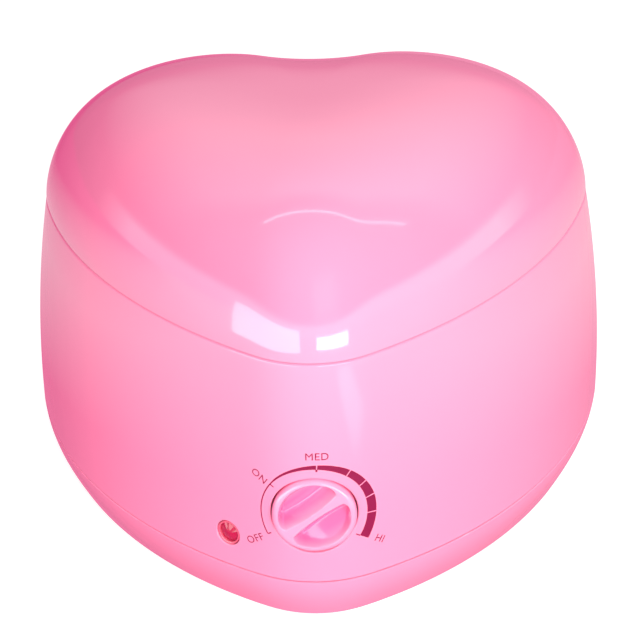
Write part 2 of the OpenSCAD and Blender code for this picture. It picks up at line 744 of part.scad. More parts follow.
pin_end = 1.6;
pin_collar_t = 1;
pin_collar_r = bail_d / 2 + 0.8;
module bail_handle() color("silver") translate([0, pot_y, bail_z]) {
    rotate_extrude(angle = 180) translate([bail_r, 0]) circle(d = bail_d, $fn = 24);
    for (s = [-1, 1]) rotate([0, s * 90, 0]) {
        translate([0, 0, bail_r]) sphere(d = bail_d);
        rod(bail_d / 2, ear_in - pin_end, bail_r);
        rod(pin_collar_r, ear_in - pin_end - pin_collar_t / 2, ear_in - pin_end + pin_collar_t / 2 - snug);
    }
}

// ---- Knob and thermostat ----------------------------------------------------------------------------

knob_hub_r = 5.4;
knob_skirt = 2;
knob_web = 1.6;
spindle_flat = 1.8;
spindle_in_knob = 5;
spindle_back = 10;
// Round bar with one flat, grown by a clearance
module flatted_bar(z0, z1, grow) difference() {
    rod(spindle_r + grow, z0, z1);
    translate([spindle_flat + grow + far / 2, 0, 0]) slab(far, far, z0 - eps, z1 + eps);
}
// Finger scoop: deepest at the foot of the bar, rising to the rim
module scoop() {
    reach = knob_r - knob_rim;
    floor_z = knob_proud - scoop_depth;
    slope = atan((scoop_depth - 0.5) / (reach - knob_bar / 2));
    intersection() {
        rod(reach, floor_z, far);
        translate([knob_bar / 2, -far, floor_z]) rotate([0, -slope, 0]) cube(2 * far);
        translate([knob_bar / 2, -far, -far]) cube(2 * far);
    }
}
module knob() color(1.02 * pink) on_dial() rotate(-off_angle) difference() {
    rotate_extrude() polygon(concat(
        [[0, -knob_depth], [knob_r - lip_bevel, -knob_depth], [knob_r, -knob_depth + lip_bevel]],
        arc([knob_r - knob_round, knob_proud - knob_round], knob_round, 0, 90, 6),
        [[0, knob_proud]]));
    for (a = [0, 180]) rotate(a) scoop();
    tube(knob_r - knob_skirt, knob_hub_r, -knob_depth - eps, knob_proud - scoop_depth - knob_web);
    flatted_bar(-knob_depth - eps, -knob_depth + spindle_in_knob + 0.3, snug / 2);
}

module thermostat_spindle() color("goldenrod") on_dial() rotate(-off_angle) {
    shoulder = plate_z + cup_floor;
    rod(spindle_r, plate_z - spindle_back, shoulder);
    flatted_bar(shoulder - snug, -knob_depth + spindle_in_knob, 0);
}

plate_t = 1;
plate_h = 12;
plate_ear_r = 4.2;
plate_back = plate_z - touch - plate_t;
module thermostat_plate() color("silver") on_dial() difference() {
    union() {
        slab(2 * plate_screw_x, plate_h, plate_back, plate_back + plate_t);
        left_and_right(plate_screw_x) rod(plate_ear_r, plate_back, plate_back + plate_t);
    }
    rod(spindle_r + spindle_play + snug, plate_back - eps, plate_z + eps);
    left_and_right(plate_screw_x) rod(plate_screw_r + 2 * screw_clear, plate_back - eps, plate_z + eps);
}

module thermostat_screws() color("silver") on_dial() left_and_right(plate_screw_x)
    translate([0, 0, plate_back - touch]) rotate([180, 0, 0])
    pan_screw(plate_screw_r, plate_screw_head_r, plate_t + plate_screw_grip);

stat_w = 24;
stat_h = 16;
stat_d = 13;
stat_front = plate_back - touch;
stat_tab_z = stat_front - 8;
module thermostat_body() color("ivory") on_dial() difference() {
    union() {
        slab(stat_w, stat_h, stat_front - stat_d, stat_front);
        slab(stat_w + 2 * tab_l, tab_w, stat_tab_z, stat_tab_z + tab_t);
    }
    rod(spindle_r + 3 * touch, plate_z - spindle_back - 2 * snug, stat_front + eps);
}

// ---- Indicator lamp ------------------------------------------------------------------------------------

lens_flange_t = 1.4;
lens_r = lamp_hole_r - 0.15;
lens_front = -wall - 0.15;
lens_back = lens_front - lens_flange_t;
holder_wall = 1.4;
holder_len = 12;
holder_front = lens_back - snug;
holder_floor = holder_front - holder_len + 2;
bulb_r = 2.6;
bulb_len = 6;
module lamp_lens() color([0.85, 0.15, 0.3]) on_lamp() rotate_extrude() polygon([
    [0, lens_back], [lamp_r - 2 * snug, lens_back], [lamp_r - 2 * snug, lens_front], [lens_r, lens_front],
    [lens_r, -lens_sink - 0.4], [0.75 * lens_r, -lens_sink - 0.4], [0.52 * lens_r, -lens_sink + 0.1],
    [0, -lens_sink + 0.3]]);

module lamp_holder() color("white") on_lamp() difference() {
    rod(lamp_r, holder_front - holder_len, holder_front);
    rod(lamp_r - holder_wall, holder_floor, holder_front + eps);
}

module neon_bulb() color([1, 0.6, 0.4, 0.6]) on_lamp() translate([0, 0, holder_floor + snug / 2])
    rotate_extrude() polygon(concat([[0, 0], [bulb_r, 0]], arc([0, bulb_len], bulb_r, 0, 90, 6)));

// ---- Cord inlet ----------------------------------------------------------------------------------------

// The wall leans here, so the bush's flange stands off by its lean
gland_stand = 0.7;
gland_flange_r = gland_neck_r + 2.4;
gland_in = -wall - 6.4;
gland_out = 3;
ring_t = 1.2;
ring_z = -wall - 1.6;
module cord_gland() color("black") on_back() translate([0, 0, gland_stand]) rotate_extrude() polygon([
    [gland_bore_r, gland_in], [gland_neck_r, gland_in], [gland_neck_r, 0], [gland_flange_r, 0],
    [gland_flange_r, 1.2], [gland_flange_r - 1, 2.2],
    [gland_bore_r + 1.6, gland_out], [gland_bore_r, gland_out]]);

module gland_ring() color("silver") on_back()
    tube(gland_neck_r + 2.6, gland_neck_r + touch, ring_z, ring_z + ring_t);

// ---- Terminal block ----------------------------------------------------------------------------------

block_place = base_lobe + [22, -14.5];
block_x = block_place[0];
block_y = block_place[1];
block_pitch = 9;
block_ways = [-1:1];
block_z = tray_inside + 1;
block_w = 12;
block_h = 9.5;
block_web_h = 5;
way_w = 5.5;
way_r = 1.9;
way_up = 4.4;
way_screw_y = 3;
way_screw_r = 1.5;
way_screw_h = 2.4;
block_screw_r = 1;
block_screw_head_r = 1.6;
block_screw_len = 8;
module at_block() translate([block_x, block_y, 0]) children();
module terminal_block() color("whitesmoke") at_block() translate([0, 0, block_z + touch]) difference() {
    union() {
        slab(3 * block_pitch + 1, block_w, 0, block_web_h);
        for (i = block_ways) translate([i * block_pitch, 0, 0]) slab(way_w, block_w, 0, block_h);
    }
    for (i = block_ways) translate([i * block_pitch, 0, way_up]) {
        rotate([90, 0, 0]) cylinder(r = way_r, h = far, center = true);
        front_and_back(way_screw_y) rod(way_screw_r + snug, 0, far);
    }
    left_and_right(block_pitch / 2) rod(block_screw_r + 0.3, -eps, far);
}

module terminal_screws() color("silver") at_block() {
    for (i = block_ways) translate([i * block_pitch, 0, block_z + way_up + way_r + snug])
        front_and_back(way_screw_y) rod(way_screw_r, 0, way_screw_h);
    translate([0, 0, block_z + block_web_h + 2 * touch]) left_and_right(block_pitch / 2)
        pan_screw(block_screw_r, block_screw_head_r, block_screw_len);
}

// ---- Wiring: each route ends at the tab, terminal or way that it serves -----------------------------

lead_r = 0.9;
lamp_lead_r = 0.8;
lead_off = 0.6;
tab_reach = tab_l + lead_off;
stat_tab = [stat_w / 2 + tab_reach + lead_r, dial_y - stat_tab_z, dial_z + stat_tab_z * sin(dial_tilt)];
cut_tab = [cutout_r + tab_reach, pot_y, cutout_tab_z + tab_t / 2];
function mirror_x(p) = [-p[0], p[1], p[2]];
function band_terminal(s) =
    let (a = clamp_angle + s * terminal_turn, r = band_r + band_t + terminal_out + lead_off)
    [r * cos(a), pot_y + r * sin(a), clamp_z];
// Where a lead leaves the back of the lamp holder, dz above its axis
function lamp_tail(dz) =
    let (d = holder_front - holder_len - lead_off, out = cos(dial_tilt))
    [-lamp_x + d * sin(lamp_facing) * out, lamp_y - d * cos(lamp_facing) * out,
        lamp_z + d * sin(dial_tilt) + dz];
way_z = block_z + way_up;
// End of a lead inside way i, and the point in front of its mouth
function way(i, dz) = [block_x + i * block_pitch, block_y - 4, way_z + dz];
function way_mouth(i, dz) = way(i, dz) - [0, 8, 0];
tag_end = [tag_l + lead_off, pot_y - stud_y, tag_z - tag_t / 2];
// Points of a route, each measured from what it runs past: the front wall, the flank or the block
function by_front(x, y, z) = [x, dial_y + y, z];
function by_flank(x, room, z) = [x, flank_point(z, -x)[1] + room, z];
function by_block(x, y, z) = [block_x + x, block_y + y, z];

module mains_leads() color("firebrick") {
    lead([stat_tab, stat_tab + [5, 3, -2], by_flank(36, 13, 30), by_flank(50, 10.4, 24),
        by_flank(62, 14.2, 17), by_block(0, -36, 12), by_block(8, -22, way_z), way_mouth(1, 0), way(1, 0)],
        lead_r);
    lead([mirror_x(stat_tab), by_front(-24, 24.4, 38), by_front(-27, 32.4, 28), by_front(-29, 35.4, 14),
        [-30, pot_y - 37, 9], [-24, pot_y - 13, 8.5], mirror_x(cut_tab) - [4, 3, 0], mirror_x(cut_tab)],
        lead_r);
}

module heater_leads() color("white") {
    low = band_terminal(-1);
    high = band_terminal(1);
    lead([low, low + [3.5, 0, -2.5], by_block(-5, -17, 24), by_block(-1, -20, 14), way_mouth(0, 1), way(0, 1)],
        lead_r);
    lead([high, high + [5.4, 4.6, -1.5], high + [11.4, 4.6, -12.5], high + [5.4, 1.6, -26.5],
        [36, pot_y + 17, 8.5], cut_tab + [6, 4, 0], cut_tab], lead_r);
}

module lamp_leads() color("pink") {
    lead([lamp_tail(2), lamp_tail(2) + [0.9, 1.6, 1.2], by_front(-15.8, 23.85, 33.6),
        [-stat_w / 2 - 3.4, stat_tab[1], stat_tab[2] - 3.4]], lamp_lead_r);
    lead([lamp_tail(-2), lamp_tail(-2) + [1.5, 2.6, -1.5], by_front(-13, 29.4, 16), by_front(0, 33.4, 9.5),
        by_flank(24, 33.6, 8.4), by_flank(46, 34.4, 8.4), by_flank(61, 37.3, 8.4), by_block(-3, -20, 8.6),
        way_mouth(0, -1), way(0, -1)], lead_r);
}

module earth_lead() color("yellowgreen")
    lead([tag_end, tag_end + [4.6, -2, -1.8], [22, pot_y - 16, 8.8], [44, pot_y - 13, 8.2],
        by_block(-16, -26, 8.5), way_mouth(-1, 0), way(-1, 0)], lead_r);

housing();
deck();
lid();
base_tray();
rubber_feet();
base_screws();
heating_well();
well_gasket();
well_screws();
heater_band();
band_clamp_screw();
insulation_sleeve();
thermal_cutout();
cutout_nuts();
earth_tag();
wax_pot();
pot_ears();
pot_rivets();
bail_handle();
knob();
thermostat_spindle();
thermostat_plate();
thermostat_body();
thermostat_screws();
lamp_lens();
lamp_holder();
neon_bulb();
terminal_block();
terminal_screws();
cord_gland();
gland_ring();
mains_leads();
heater_leads();
lamp_leads();
earth_lead();
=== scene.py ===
"""Heart-shaped wax warmer pot: dressed surfaces, finishes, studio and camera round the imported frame."""

import json
import logging
import math
from dataclasses import dataclass
from enum import Enum
from typing import Callable, Optional, Sequence, Union

import bmesh
import bpy
import numpy as np
from mathutils import Matrix, Vector
from mathutils.geometry import tessellate_polygon


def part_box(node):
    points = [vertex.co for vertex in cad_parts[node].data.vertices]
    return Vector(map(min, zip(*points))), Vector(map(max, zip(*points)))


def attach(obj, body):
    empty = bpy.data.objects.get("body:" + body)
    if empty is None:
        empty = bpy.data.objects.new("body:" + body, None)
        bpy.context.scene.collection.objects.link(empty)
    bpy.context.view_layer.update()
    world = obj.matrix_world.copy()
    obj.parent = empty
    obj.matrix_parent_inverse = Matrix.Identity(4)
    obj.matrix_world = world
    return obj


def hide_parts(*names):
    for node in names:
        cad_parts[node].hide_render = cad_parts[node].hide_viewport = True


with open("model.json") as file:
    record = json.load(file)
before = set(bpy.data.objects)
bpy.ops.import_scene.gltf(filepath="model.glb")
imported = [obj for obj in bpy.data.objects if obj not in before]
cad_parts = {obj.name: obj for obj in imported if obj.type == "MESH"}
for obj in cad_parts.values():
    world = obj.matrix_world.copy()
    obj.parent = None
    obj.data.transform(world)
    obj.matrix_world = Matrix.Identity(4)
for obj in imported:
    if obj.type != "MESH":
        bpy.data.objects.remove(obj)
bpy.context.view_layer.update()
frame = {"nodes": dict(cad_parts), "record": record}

LOG = logging.getLogger("wax_warmer")
MM = 0.001
TURN = 2.0 * math.pi
QUARTER = math.pi / 2
TINY = 1e-6
EDGE_SHARE = 0.49
POST_STEPS = 40
WELL_ROOM = 0.8
FLANGE_SCREW_IN = 4.2

Colour = tuple[float, float, float]
Array = np.ndarray


# ---- Meshes from numpy ------------------------------------------------------------------------------


def angles(steps: int) -> Array:
    """Even angles round a full turn."""
    return np.arange(steps) * TURN / steps


def rings(radius: Sequence[float], height: Array, a: Array) -> Array:
    """Rings round an axis: (r cos a, r sin a, height) for each radius and angle.

    Args:
        radius: Radius of each ring.
        height: Height of each ring, or of each of its points.
        a: Angles of the points.

    Returns:
        Array of ring, point and coordinate.
    """
    radius, height = np.asarray(radius, float)[:, None], np.asarray(height, float)
    height = height[:, None] if height.ndim == 1 else height
    return np.stack(np.broadcast_arrays(radius * np.cos(a), radius * np.sin(a), height), -1)


def raised(p: Array, z: Union[float, Array]) -> Array:
    """Complex points x + iy of a plan, at a height."""
    return np.stack(np.broadcast_arrays(p.real, p.imag, z), -1)


def moved(*by: float) -> Callable[[Array], Array]:
    """Function that moves points by x, y, z."""
    return lambda points: points + np.array(by)


def linked(name: str, data: bpy.types.ID) -> bpy.types.Object:
    """New object of some data, linked to the scene."""
    obj = bpy.data.objects.new(name, data)
    bpy.context.scene.collection.objects.link(obj)
    return obj


class Skin:
    """Points and faces of closed surfaces, put together ring by ring, in millimetres."""

    def __init__(self) -> None:
        """Starts with no points."""
        self.points: list[Array] = []
        self.quads: list[Array] = []
        self.triangles: list[Array] = []
        self.count = 0

    def add(self, points: Array) -> Array:
        """Adds points, whose last axis is x, y, z, and returns their numbers, shaped by the other axes."""
        flat = np.asarray(points, float).reshape(-1, 3)
        numbers = np.arange(self.count, self.count + len(flat)).reshape(points.shape[:-1])
        self.points.append(flat)
        self.count += len(flat)
        return numbers

    def band(self, low: Array, high: Array) -> None:
        """Joins two closed rings of equal length with quads."""
        self.quads.append(np.stack([low, np.roll(low, -1), np.roll(high, -1), high], axis=-1))

    def sheet(self, grid: Array) -> None:
        """Joins each row of numbers, a closed ring, with the next."""
        for low, high in zip(grid[:-1], grid[1:]):
            self.band(low, high)

    def tube(self, points: Array, first: Array, last: Array) -> None:
        """Adds rings of points and closes the two ends with fans to the places first and last."""
        grid = self.add(points)
        self.sheet(grid)
        self.cap(grid[0], first, flip=True)
        self.cap(grid[-1], last)

    def turned(self, profile: Array, steps: int, place: Callable[[Array], Array]) -> None:
        """Adds a profile turned round the Z axis: (r cos a, r sin a, z) for each point (r, z).

        Args:
            profile: Points (radius, height). Ends at radius 0 are closed by fans, and a profile without
                them is closed into a ring.
            steps: Points round the axis.
            place: Moves points from the axis' own frame into the row frame, in millimetres.
        """
        profile = np.asarray(profile, float)
        inner = profile[profile[:, 0] > TINY]
        points = place(rings(*inner.T, angles(steps)))
        if profile[0, 0] > TINY:
            numbers = self.add(points)
            self.sheet(numbers)
            self.band(numbers[-1], numbers[0])
            return
        self.tube(points, *(place(np.array([0.0, 0.0, profile[k, 1]])) for k in (0, -1)))

    def cap(self, ring: Array, centre: Array, flip: bool = False) -> None:
        """Closes a ring with a fan to its centre, which faces the other way if flipped."""
        middle = np.full(len(ring), self.add(np.asarray(centre, float).reshape(1, 3))[0])
        after = np.roll(ring, -1)
        order = [after, ring, middle] if flip else [ring, after, middle]
        self.triangles.append(np.stack(order, axis=-1))

    def plate(self, outline: Array, holes: Sequence[Array], up: bool) -> None:
        """Fills a level outline, apart from its holes, with triangles that face up or down."""
        points = np.concatenate(self.points)
        loops = [outline, *holes]
        flat = [[Vector(points[k]) for k in loop] for loop in loops]
        corners = np.concatenate(loops)[np.array(tessellate_polygon(flat))]
        a, b, c = (points[corners[:, k]] for k in range(3))
        facing = np.cross(b - a, c - a)[:, 2]
        wrong = facing < 0 if up else facing > 0
        corners[wrong] = corners[wrong][:, ::-1]
        self.triangles.append(corners)

    def build(self, name: str, smooth_angle: float = 35.0) -> bpy.types.Object:
        """Makes the mesh object, in metres, with faces that point outwards.

        Args:
            name: Name of the new object.
            smooth_angle: Edges sharper than this many degrees stay sharp.

        Returns:
            The new object, linked to the scene.
        """
        points = np.concatenate(self.points)
        quads, triangles = (np.concatenate([np.zeros((0, k), int), *faces])
                            for k, faces in ((4, self.quads), (3, self.triangles)))
        split = np.concatenate([quads[:, [0, 1, 2]], quads[:, [0, 2, 3]], triangles])
        a, b, c = (points[split[:, k]] for k in range(3))
        if np.einsum("ij,ij->i", a, np.cross(b, c)).sum() < 0:
            quads, triangles = quads[:, ::-1], triangles[:, ::-1]
        return new_object(name, points * MM, quads, triangles, smooth_angle)


def new_object(name: str, points: Array, quads: Array, triangles: Array, angle: float) -> bpy.types.Object:
    """Makes an object of points in metres and corner numbers of faces, sharp at edges over an angle."""
    mesh = bpy.data.meshes.new(name)
    mesh.vertices.add(len(points))
    mesh.vertices.foreach_set("co", np.ascontiguousarray(points, np.float32).ravel())
    corners = np.concatenate([quads.ravel(), triangles.ravel()]).astype(np.int32)
    starts = np.concatenate([np.arange(len(quads)) * 4, len(quads) * 4 + np.arange(len(triangles)) * 3])
    mesh.loops.add(len(corners))
    mesh.loops.foreach_set("vertex_index", corners)
    mesh.polygons.add(len(starts))
    mesh.polygons.foreach_set("loop_start", starts.astype(np.int32))
    mesh.update(calc_edges=True)
    mesh.validate()
    mesh.shade_smooth()
    mesh.set_sharp_from_angle(angle=math.radians(angle))
    return linked(name, mesh)


def rounded_profile(corners: Sequence[tuple[float, float, float]], steps: int = 5) -> Array:
    """Profile through corners, each rounded by its own radius.

    Args:
        corners: Radius, height and rounding of each corner. The ends are never rounded.
        steps: Segments in each rounding.

    Returns:
        Points (radius, height) along the profile. A rounding is a quadratic curve that leaves and joins
        its two edges at the rounding's distance from the corner.
    """
    points = [np.array(corners[0][:2], float)]
    for before, here, after in zip(corners[:-2], corners[1:-1], corners[2:]):
        p, q, s = (np.array(k[:2], float) for k in (before, here, after))
        reach = min(here[2], *(EDGE_SHARE * np.linalg.norm(k - q) for k in (p, s)))
        if reach < TINY:
            points.append(q)
            continue
        start, end = (q + reach * (k - q) / np.linalg.norm(k - q) for k in (p, s))
        for t in np.linspace(0, 1, steps + 1):
            points.append((1 - t) ** 2 * start + 2 * t * (1 - t) * q + t * t * end)
    points.append(np.array(corners[-1][:2], float))
    return np.array(points)


def spin(a: float) -> Array:
    """Matrix that turns row vectors counter-clockwise round Z by an angle."""
    return np.array([[math.cos(a), math.sin(a), 0], [-math.sin(a), math.cos(a), 0], [0, 0, 1]])


@dataclass(frozen=True)
class Frame:
    """A place with its own axes, in millimetres of the row frame."""

    origin: tuple[float, float, float]
    tilt: float = 0.0
    facing: float = 0.0

    def axes(self) -> Array:
        """Rows: across, up the wall and out of it. The frame leans back by tilt and is turned by facing."""
        tilt = math.radians(self.tilt)
        sin, cos = math.sin(tilt), math.cos(tilt)
        rows = np.array([[1.0, 0, 0], [0, sin, cos], [0, -cos, sin]])
        return rows @ spin(math.radians(self.facing))

    def place(self, local: Array) -> Array:
        """Moves local points into the row frame: origin + x across + y up + z out."""
        return np.asarray(local) @ self.axes() + np.array(self.origin)

    def local(self, points: Array) -> Array:
        """Moves points of the row frame into this frame."""
        return (points - np.array(self.origin)) @ self.axes().T


# ---- The heart-shaped wall ---------------------------------------------------------------------------


@dataclass(frozen=True)
class Heart:
    """Heart outline of arcs that meet tangentially: front tip, long flank, lobe and notch."""

    lobe_x: float
    lobe_y: float
    lobe_r: float
    tip_y: float
    tip_r: float
    flank_r: float
    notch_r: float

    FINE = 600

    def centres(self) -> tuple[complex, complex, complex, complex]:
        """Centres of the arcs of the right half, as x + iy: tip, flank, lobe and notch.

        The flank's lies where circles about the tip's and the lobe's centres cross, and the notch's on the
        middle plane, where its arc touches both lobes from outside.
        """
        tip, lobe = -1j * self.tip_y, self.lobe_x + 1j * self.lobe_y
        gap = lobe - tip
        to_tip, to_lobe = self.flank_r - self.tip_r, self.flank_r - self.lobe_r
        along = (to_tip**2 - to_lobe**2 + abs(gap) ** 2) / (2 * abs(gap))
        flank = tip + (along + 1j * math.sqrt(to_tip**2 - along**2)) * gap / abs(gap)
        notch = 1j * (self.lobe_y + math.sqrt((self.lobe_r + self.notch_r) ** 2 - self.lobe_x**2))
        return tip, flank, lobe, notch

    def flank_y(self, x: float) -> float:
        """Place of the flank behind the origin, at a distance to the right."""
        flank = self.centres()[1]
        return flank.imag - math.sqrt(self.flank_r**2 - (x - flank.real) ** 2)

    def half(self, steps: int) -> Array:
        """Right half from the front tip to the notch, as complex points with so many on each arc."""
        tip, flank, lobe, notch = self.centres()
        a_tip, a_lobe, a_notch = (np.angle(k) for k in (tip - flank, lobe - flank, notch - lobe))
        arcs = ((tip, self.tip_r, -QUARTER, a_tip), (flank, self.flank_r, a_tip, a_lobe),
                (lobe, self.lobe_r, a_lobe, a_notch), (notch, self.notch_r, a_notch - math.pi, -QUARTER))
        t = np.linspace(0, 1, steps, endpoint=False)
        return np.concatenate([c + r * np.exp(1j * (a + (b - a) * t)) for c, r, a, b in arcs]
                              + [np.array([notch - 1j * self.notch_r])])

    def even(self, steps: int) -> Array:
        """Whole outline as complex points at even distances, from the front tip to the right and round."""
        half = self.half(self.FINE)
        loop = np.concatenate([half, -np.conj(half[-2::-1])])
        length = np.concatenate([[0], np.cumsum(np.abs(np.diff(loop)))])
        at = np.linspace(0, length[-1], steps, endpoint=False)
        return np.interp(at, length, loop.real) + 1j * np.interp(at, length, loop.imag)


@dataclass(frozen=True)
class Shape:
    """Driving sizes of the warmer's mouldings, in millimetres."""

    body_w: float = 200.0
    body_d: float = 168.75
    foot_proud: float = 1.5
    tray_h: float = 15.7
    body_h: float = 74.9
    dome_h: float = 50.1
    base_lobe_r: float = 47.85
    base_tip_r: float = 37.2
    base_flank_r: float = 154.2
    base_notch_r: float = 72.9
    side_lean: float = 7.55
    front_lean: float = 2.975
    back_lean: float = 2.425
    side_swell: float = 1.86
    seam_lobe_r: float = 42.85
    seam_tip_r: float = 29.3
    seam_flank_r: float = 178.0
    seam_notch_r: float = 77.9
    dome_plan_power: float = 3.44
    dome_rise_power: float = 1.62
    deck_drop: float = 11.5
    deck_t: float = 3.0
    wall: float = 2.8
    lid_wall: float = 2.4
    tray_floor: float = 3.0
    seam_gap: float = 0.3
    lip_gap: float = 0.35
    lip_t: float = 1.6
    lid_lip: float = 3.5
    tray_lip: float = 3.0
    rim_round: float = 0.8
    base_round: float = 4.9

    @property
    def crease_z(self) -> float:
        """Height of the line between the tray and the body."""
        return self.foot_proud + self.tray_h

    @property
    def seam_z(self) -> float:
        """Height of the line between the body and the lid."""
        return self.crease_z + self.body_h

    @property
    def deck_z(self) -> float:
        """Height of the deck round the pot."""
        return self.seam_z - self.deck_drop

    @property
    def dome_mid(self) -> float:
        """Distance of the dome's crown behind the origin."""
        return (self.front_lean - self.back_lean) / 2

    @property
    def lip_out(self) -> float:
        """Offset of the locating lips' outer faces from the wall's face."""
        return -(self.wall + self.lip_gap)

    @property
    def lip_in(self) -> float:
        """Offset of the locating lips' inner faces from the wall's face."""
        return self.lip_out - self.lip_t

    def share(self, z: Union[float, Array]) -> Union[float, Array]:
        """Way down the wall at a height: 0 at the seam, 1 at the base line."""
        return (self.seam_z - z) / self.body_h

    def heart(self, t: float) -> Heart:
        """Section of the wall, t 0 at the seam and 1 at the base line, with the sides swollen between."""
        leans = (self.side_lean, self.front_lean, self.back_lean)
        seam = (*leans, self.seam_lobe_r, self.seam_tip_r, self.seam_flank_r, self.seam_notch_r)
        base = (0.0, 0.0, 0.0, self.base_lobe_r, self.base_tip_r, self.base_flank_r, self.base_notch_r)
        mixed = (1 - t) * np.array(seam) + t * np.array(base)
        side, front, back, lobe_r, tip_r, flank_r, notch_r = mixed
        side -= 4 * t * (1 - t) * self.side_swell
        return Heart(self.body_w / 2 - side - lobe_r, self.body_d / 2 - back - lobe_r, lobe_r,
                     self.body_d / 2 - front - tip_r, tip_r, flank_r, notch_r)


class HeartWall:
    """The wall as a smooth surface: at each height a Fourier series round the heart.

    The arcs of the outline meet with a jump in curvature that gloss would show, so the series is filtered
    with a Gaussian that is made free of shrinkage, and its terms are polynomials of the height.
    """

    HARMONICS = 110
    SAMPLES = 2048
    LEVELS = 9
    DEGREE = 4
    EASE = 4.5

    def __init__(self, shape: Shape) -> None:
        """Fits the series.

        Args:
            shape: Sizes of the mouldings.
        """
        self.shape = shape
        self.order = np.arange(-self.HARMONICS, self.HARMONICS + 1)
        t = np.linspace(0, 1, self.LEVELS)
        rows = [self._fitted(shape.heart(k)) for k in t]
        powers = t[:, None] ** np.arange(self.DEGREE + 1)
        self.terms = np.linalg.lstsq(powers.astype(complex), np.array(rows), rcond=None)[0]
        self.length = float(np.abs(np.diff(shape.heart(0.5).even(self.SAMPLES))).sum())

    def _fitted(self, heart: Heart) -> Array:
        """Filtered Fourier terms of one section."""
        loop = heart.even(self.SAMPLES)
        length = np.abs(np.diff(np.append(loop, loop[0]))).sum()
        spectrum = np.fft.fft(loop) / self.SAMPLES
        blur = np.exp(-0.5 * (self.EASE * TURN * self.order / length) ** 2)
        return spectrum[self.order] * (1 - (1 - blur) ** 2)

    def plan(self, turn: Array, t: Array, off: Union[float, Array] = 0.0) -> Array:
        """Point of the outline in plan, as x + iy.

        Args:
            turn: Way round the outline, 0 at the front tip and 0.5 at the notch.
            t: 0 at the seam, 1 at the base line.
            off: Distance outwards from the wall's face, along the outline's normal.

        Returns:
            Sum of the terms times exp(2 pi i k turn), moved along the normal, which is the derivative
            turned a quarter clockwise.
        """
        turn, t = np.broadcast_arrays(np.asarray(turn, float), np.clip(t, 0.0, 1.0))
        flat_turn, flat_t = turn.ravel(), t.ravel()
        waves = np.exp(2j * math.pi * flat_turn[:, None] * self.order[None, :])
        terms = (flat_t[:, None] ** np.arange(self.DEGREE + 1)).astype(complex) @ self.terms
        point = (waves * terms).sum(1)
        slope = (waves * terms * self.order).sum(1) * 2j * math.pi
        point = point - 1j * slope / np.abs(slope) * np.broadcast_to(off, turn.shape).ravel()
        return point.reshape(turn.shape)

    def at(self, turn: Array, z: Array, off: Union[float, Array] = 0.0) -> Array:
        """Point of the wall at a height, off outwards."""
        turn, z = np.broadcast_arrays(np.asarray(turn, float), np.asarray(z, float))
        return raised(self.plan(turn, self.shape.share(z), off), z)

    def loft(self, columns: int, levels: Sequence[tuple[float, float]]) -> Array:
        """Rings of points at levels of height and offset, which past the wall's ends keep their section."""
        z, off = np.array(levels).T[..., None]
        return self.at(np.arange(columns) / columns, z, off)

    def dome(self, turn: Array, angle: Array, off: float, rise: float) -> Array:
        """Point of the lid's dome.

        Args:
            turn: Way round the outline.
            angle: 0 at the seam and a quarter turn at the crown, in radians.
            off: Distance outwards of the dome's foot from the wall's face.
            rise: Height of the crown above the seam.

        Returns:
            The outline shrunk towards the crown by cos(angle) ^ (2 / plan power), raised by
            rise sin(angle) ^ (2 / rise power).
        """
        turn, angle = np.broadcast_arrays(np.asarray(turn, float), np.asarray(angle, float))
        shape = self.shape
        middle = 1j * shape.dome_mid
        shrink = np.cos(angle).clip(0) ** (2 / shape.dome_plan_power)
        z = shape.seam_z + rise * np.sin(angle).clip(0) ** (2 / shape.dome_rise_power)
        return raised(middle + shrink * (self.plan(turn, np.zeros(turn.shape), off) - middle), z)


@dataclass(frozen=True)
class Port:
    """A round hole through the wall, with its collar inside and out."""

    frame: Frame
    turn: float
    mouth: tuple[tuple[float, float], ...]
    boss: tuple[tuple[float, float], ...]
    reach_across: float
    reach_up: float
    edge: float = 0.35


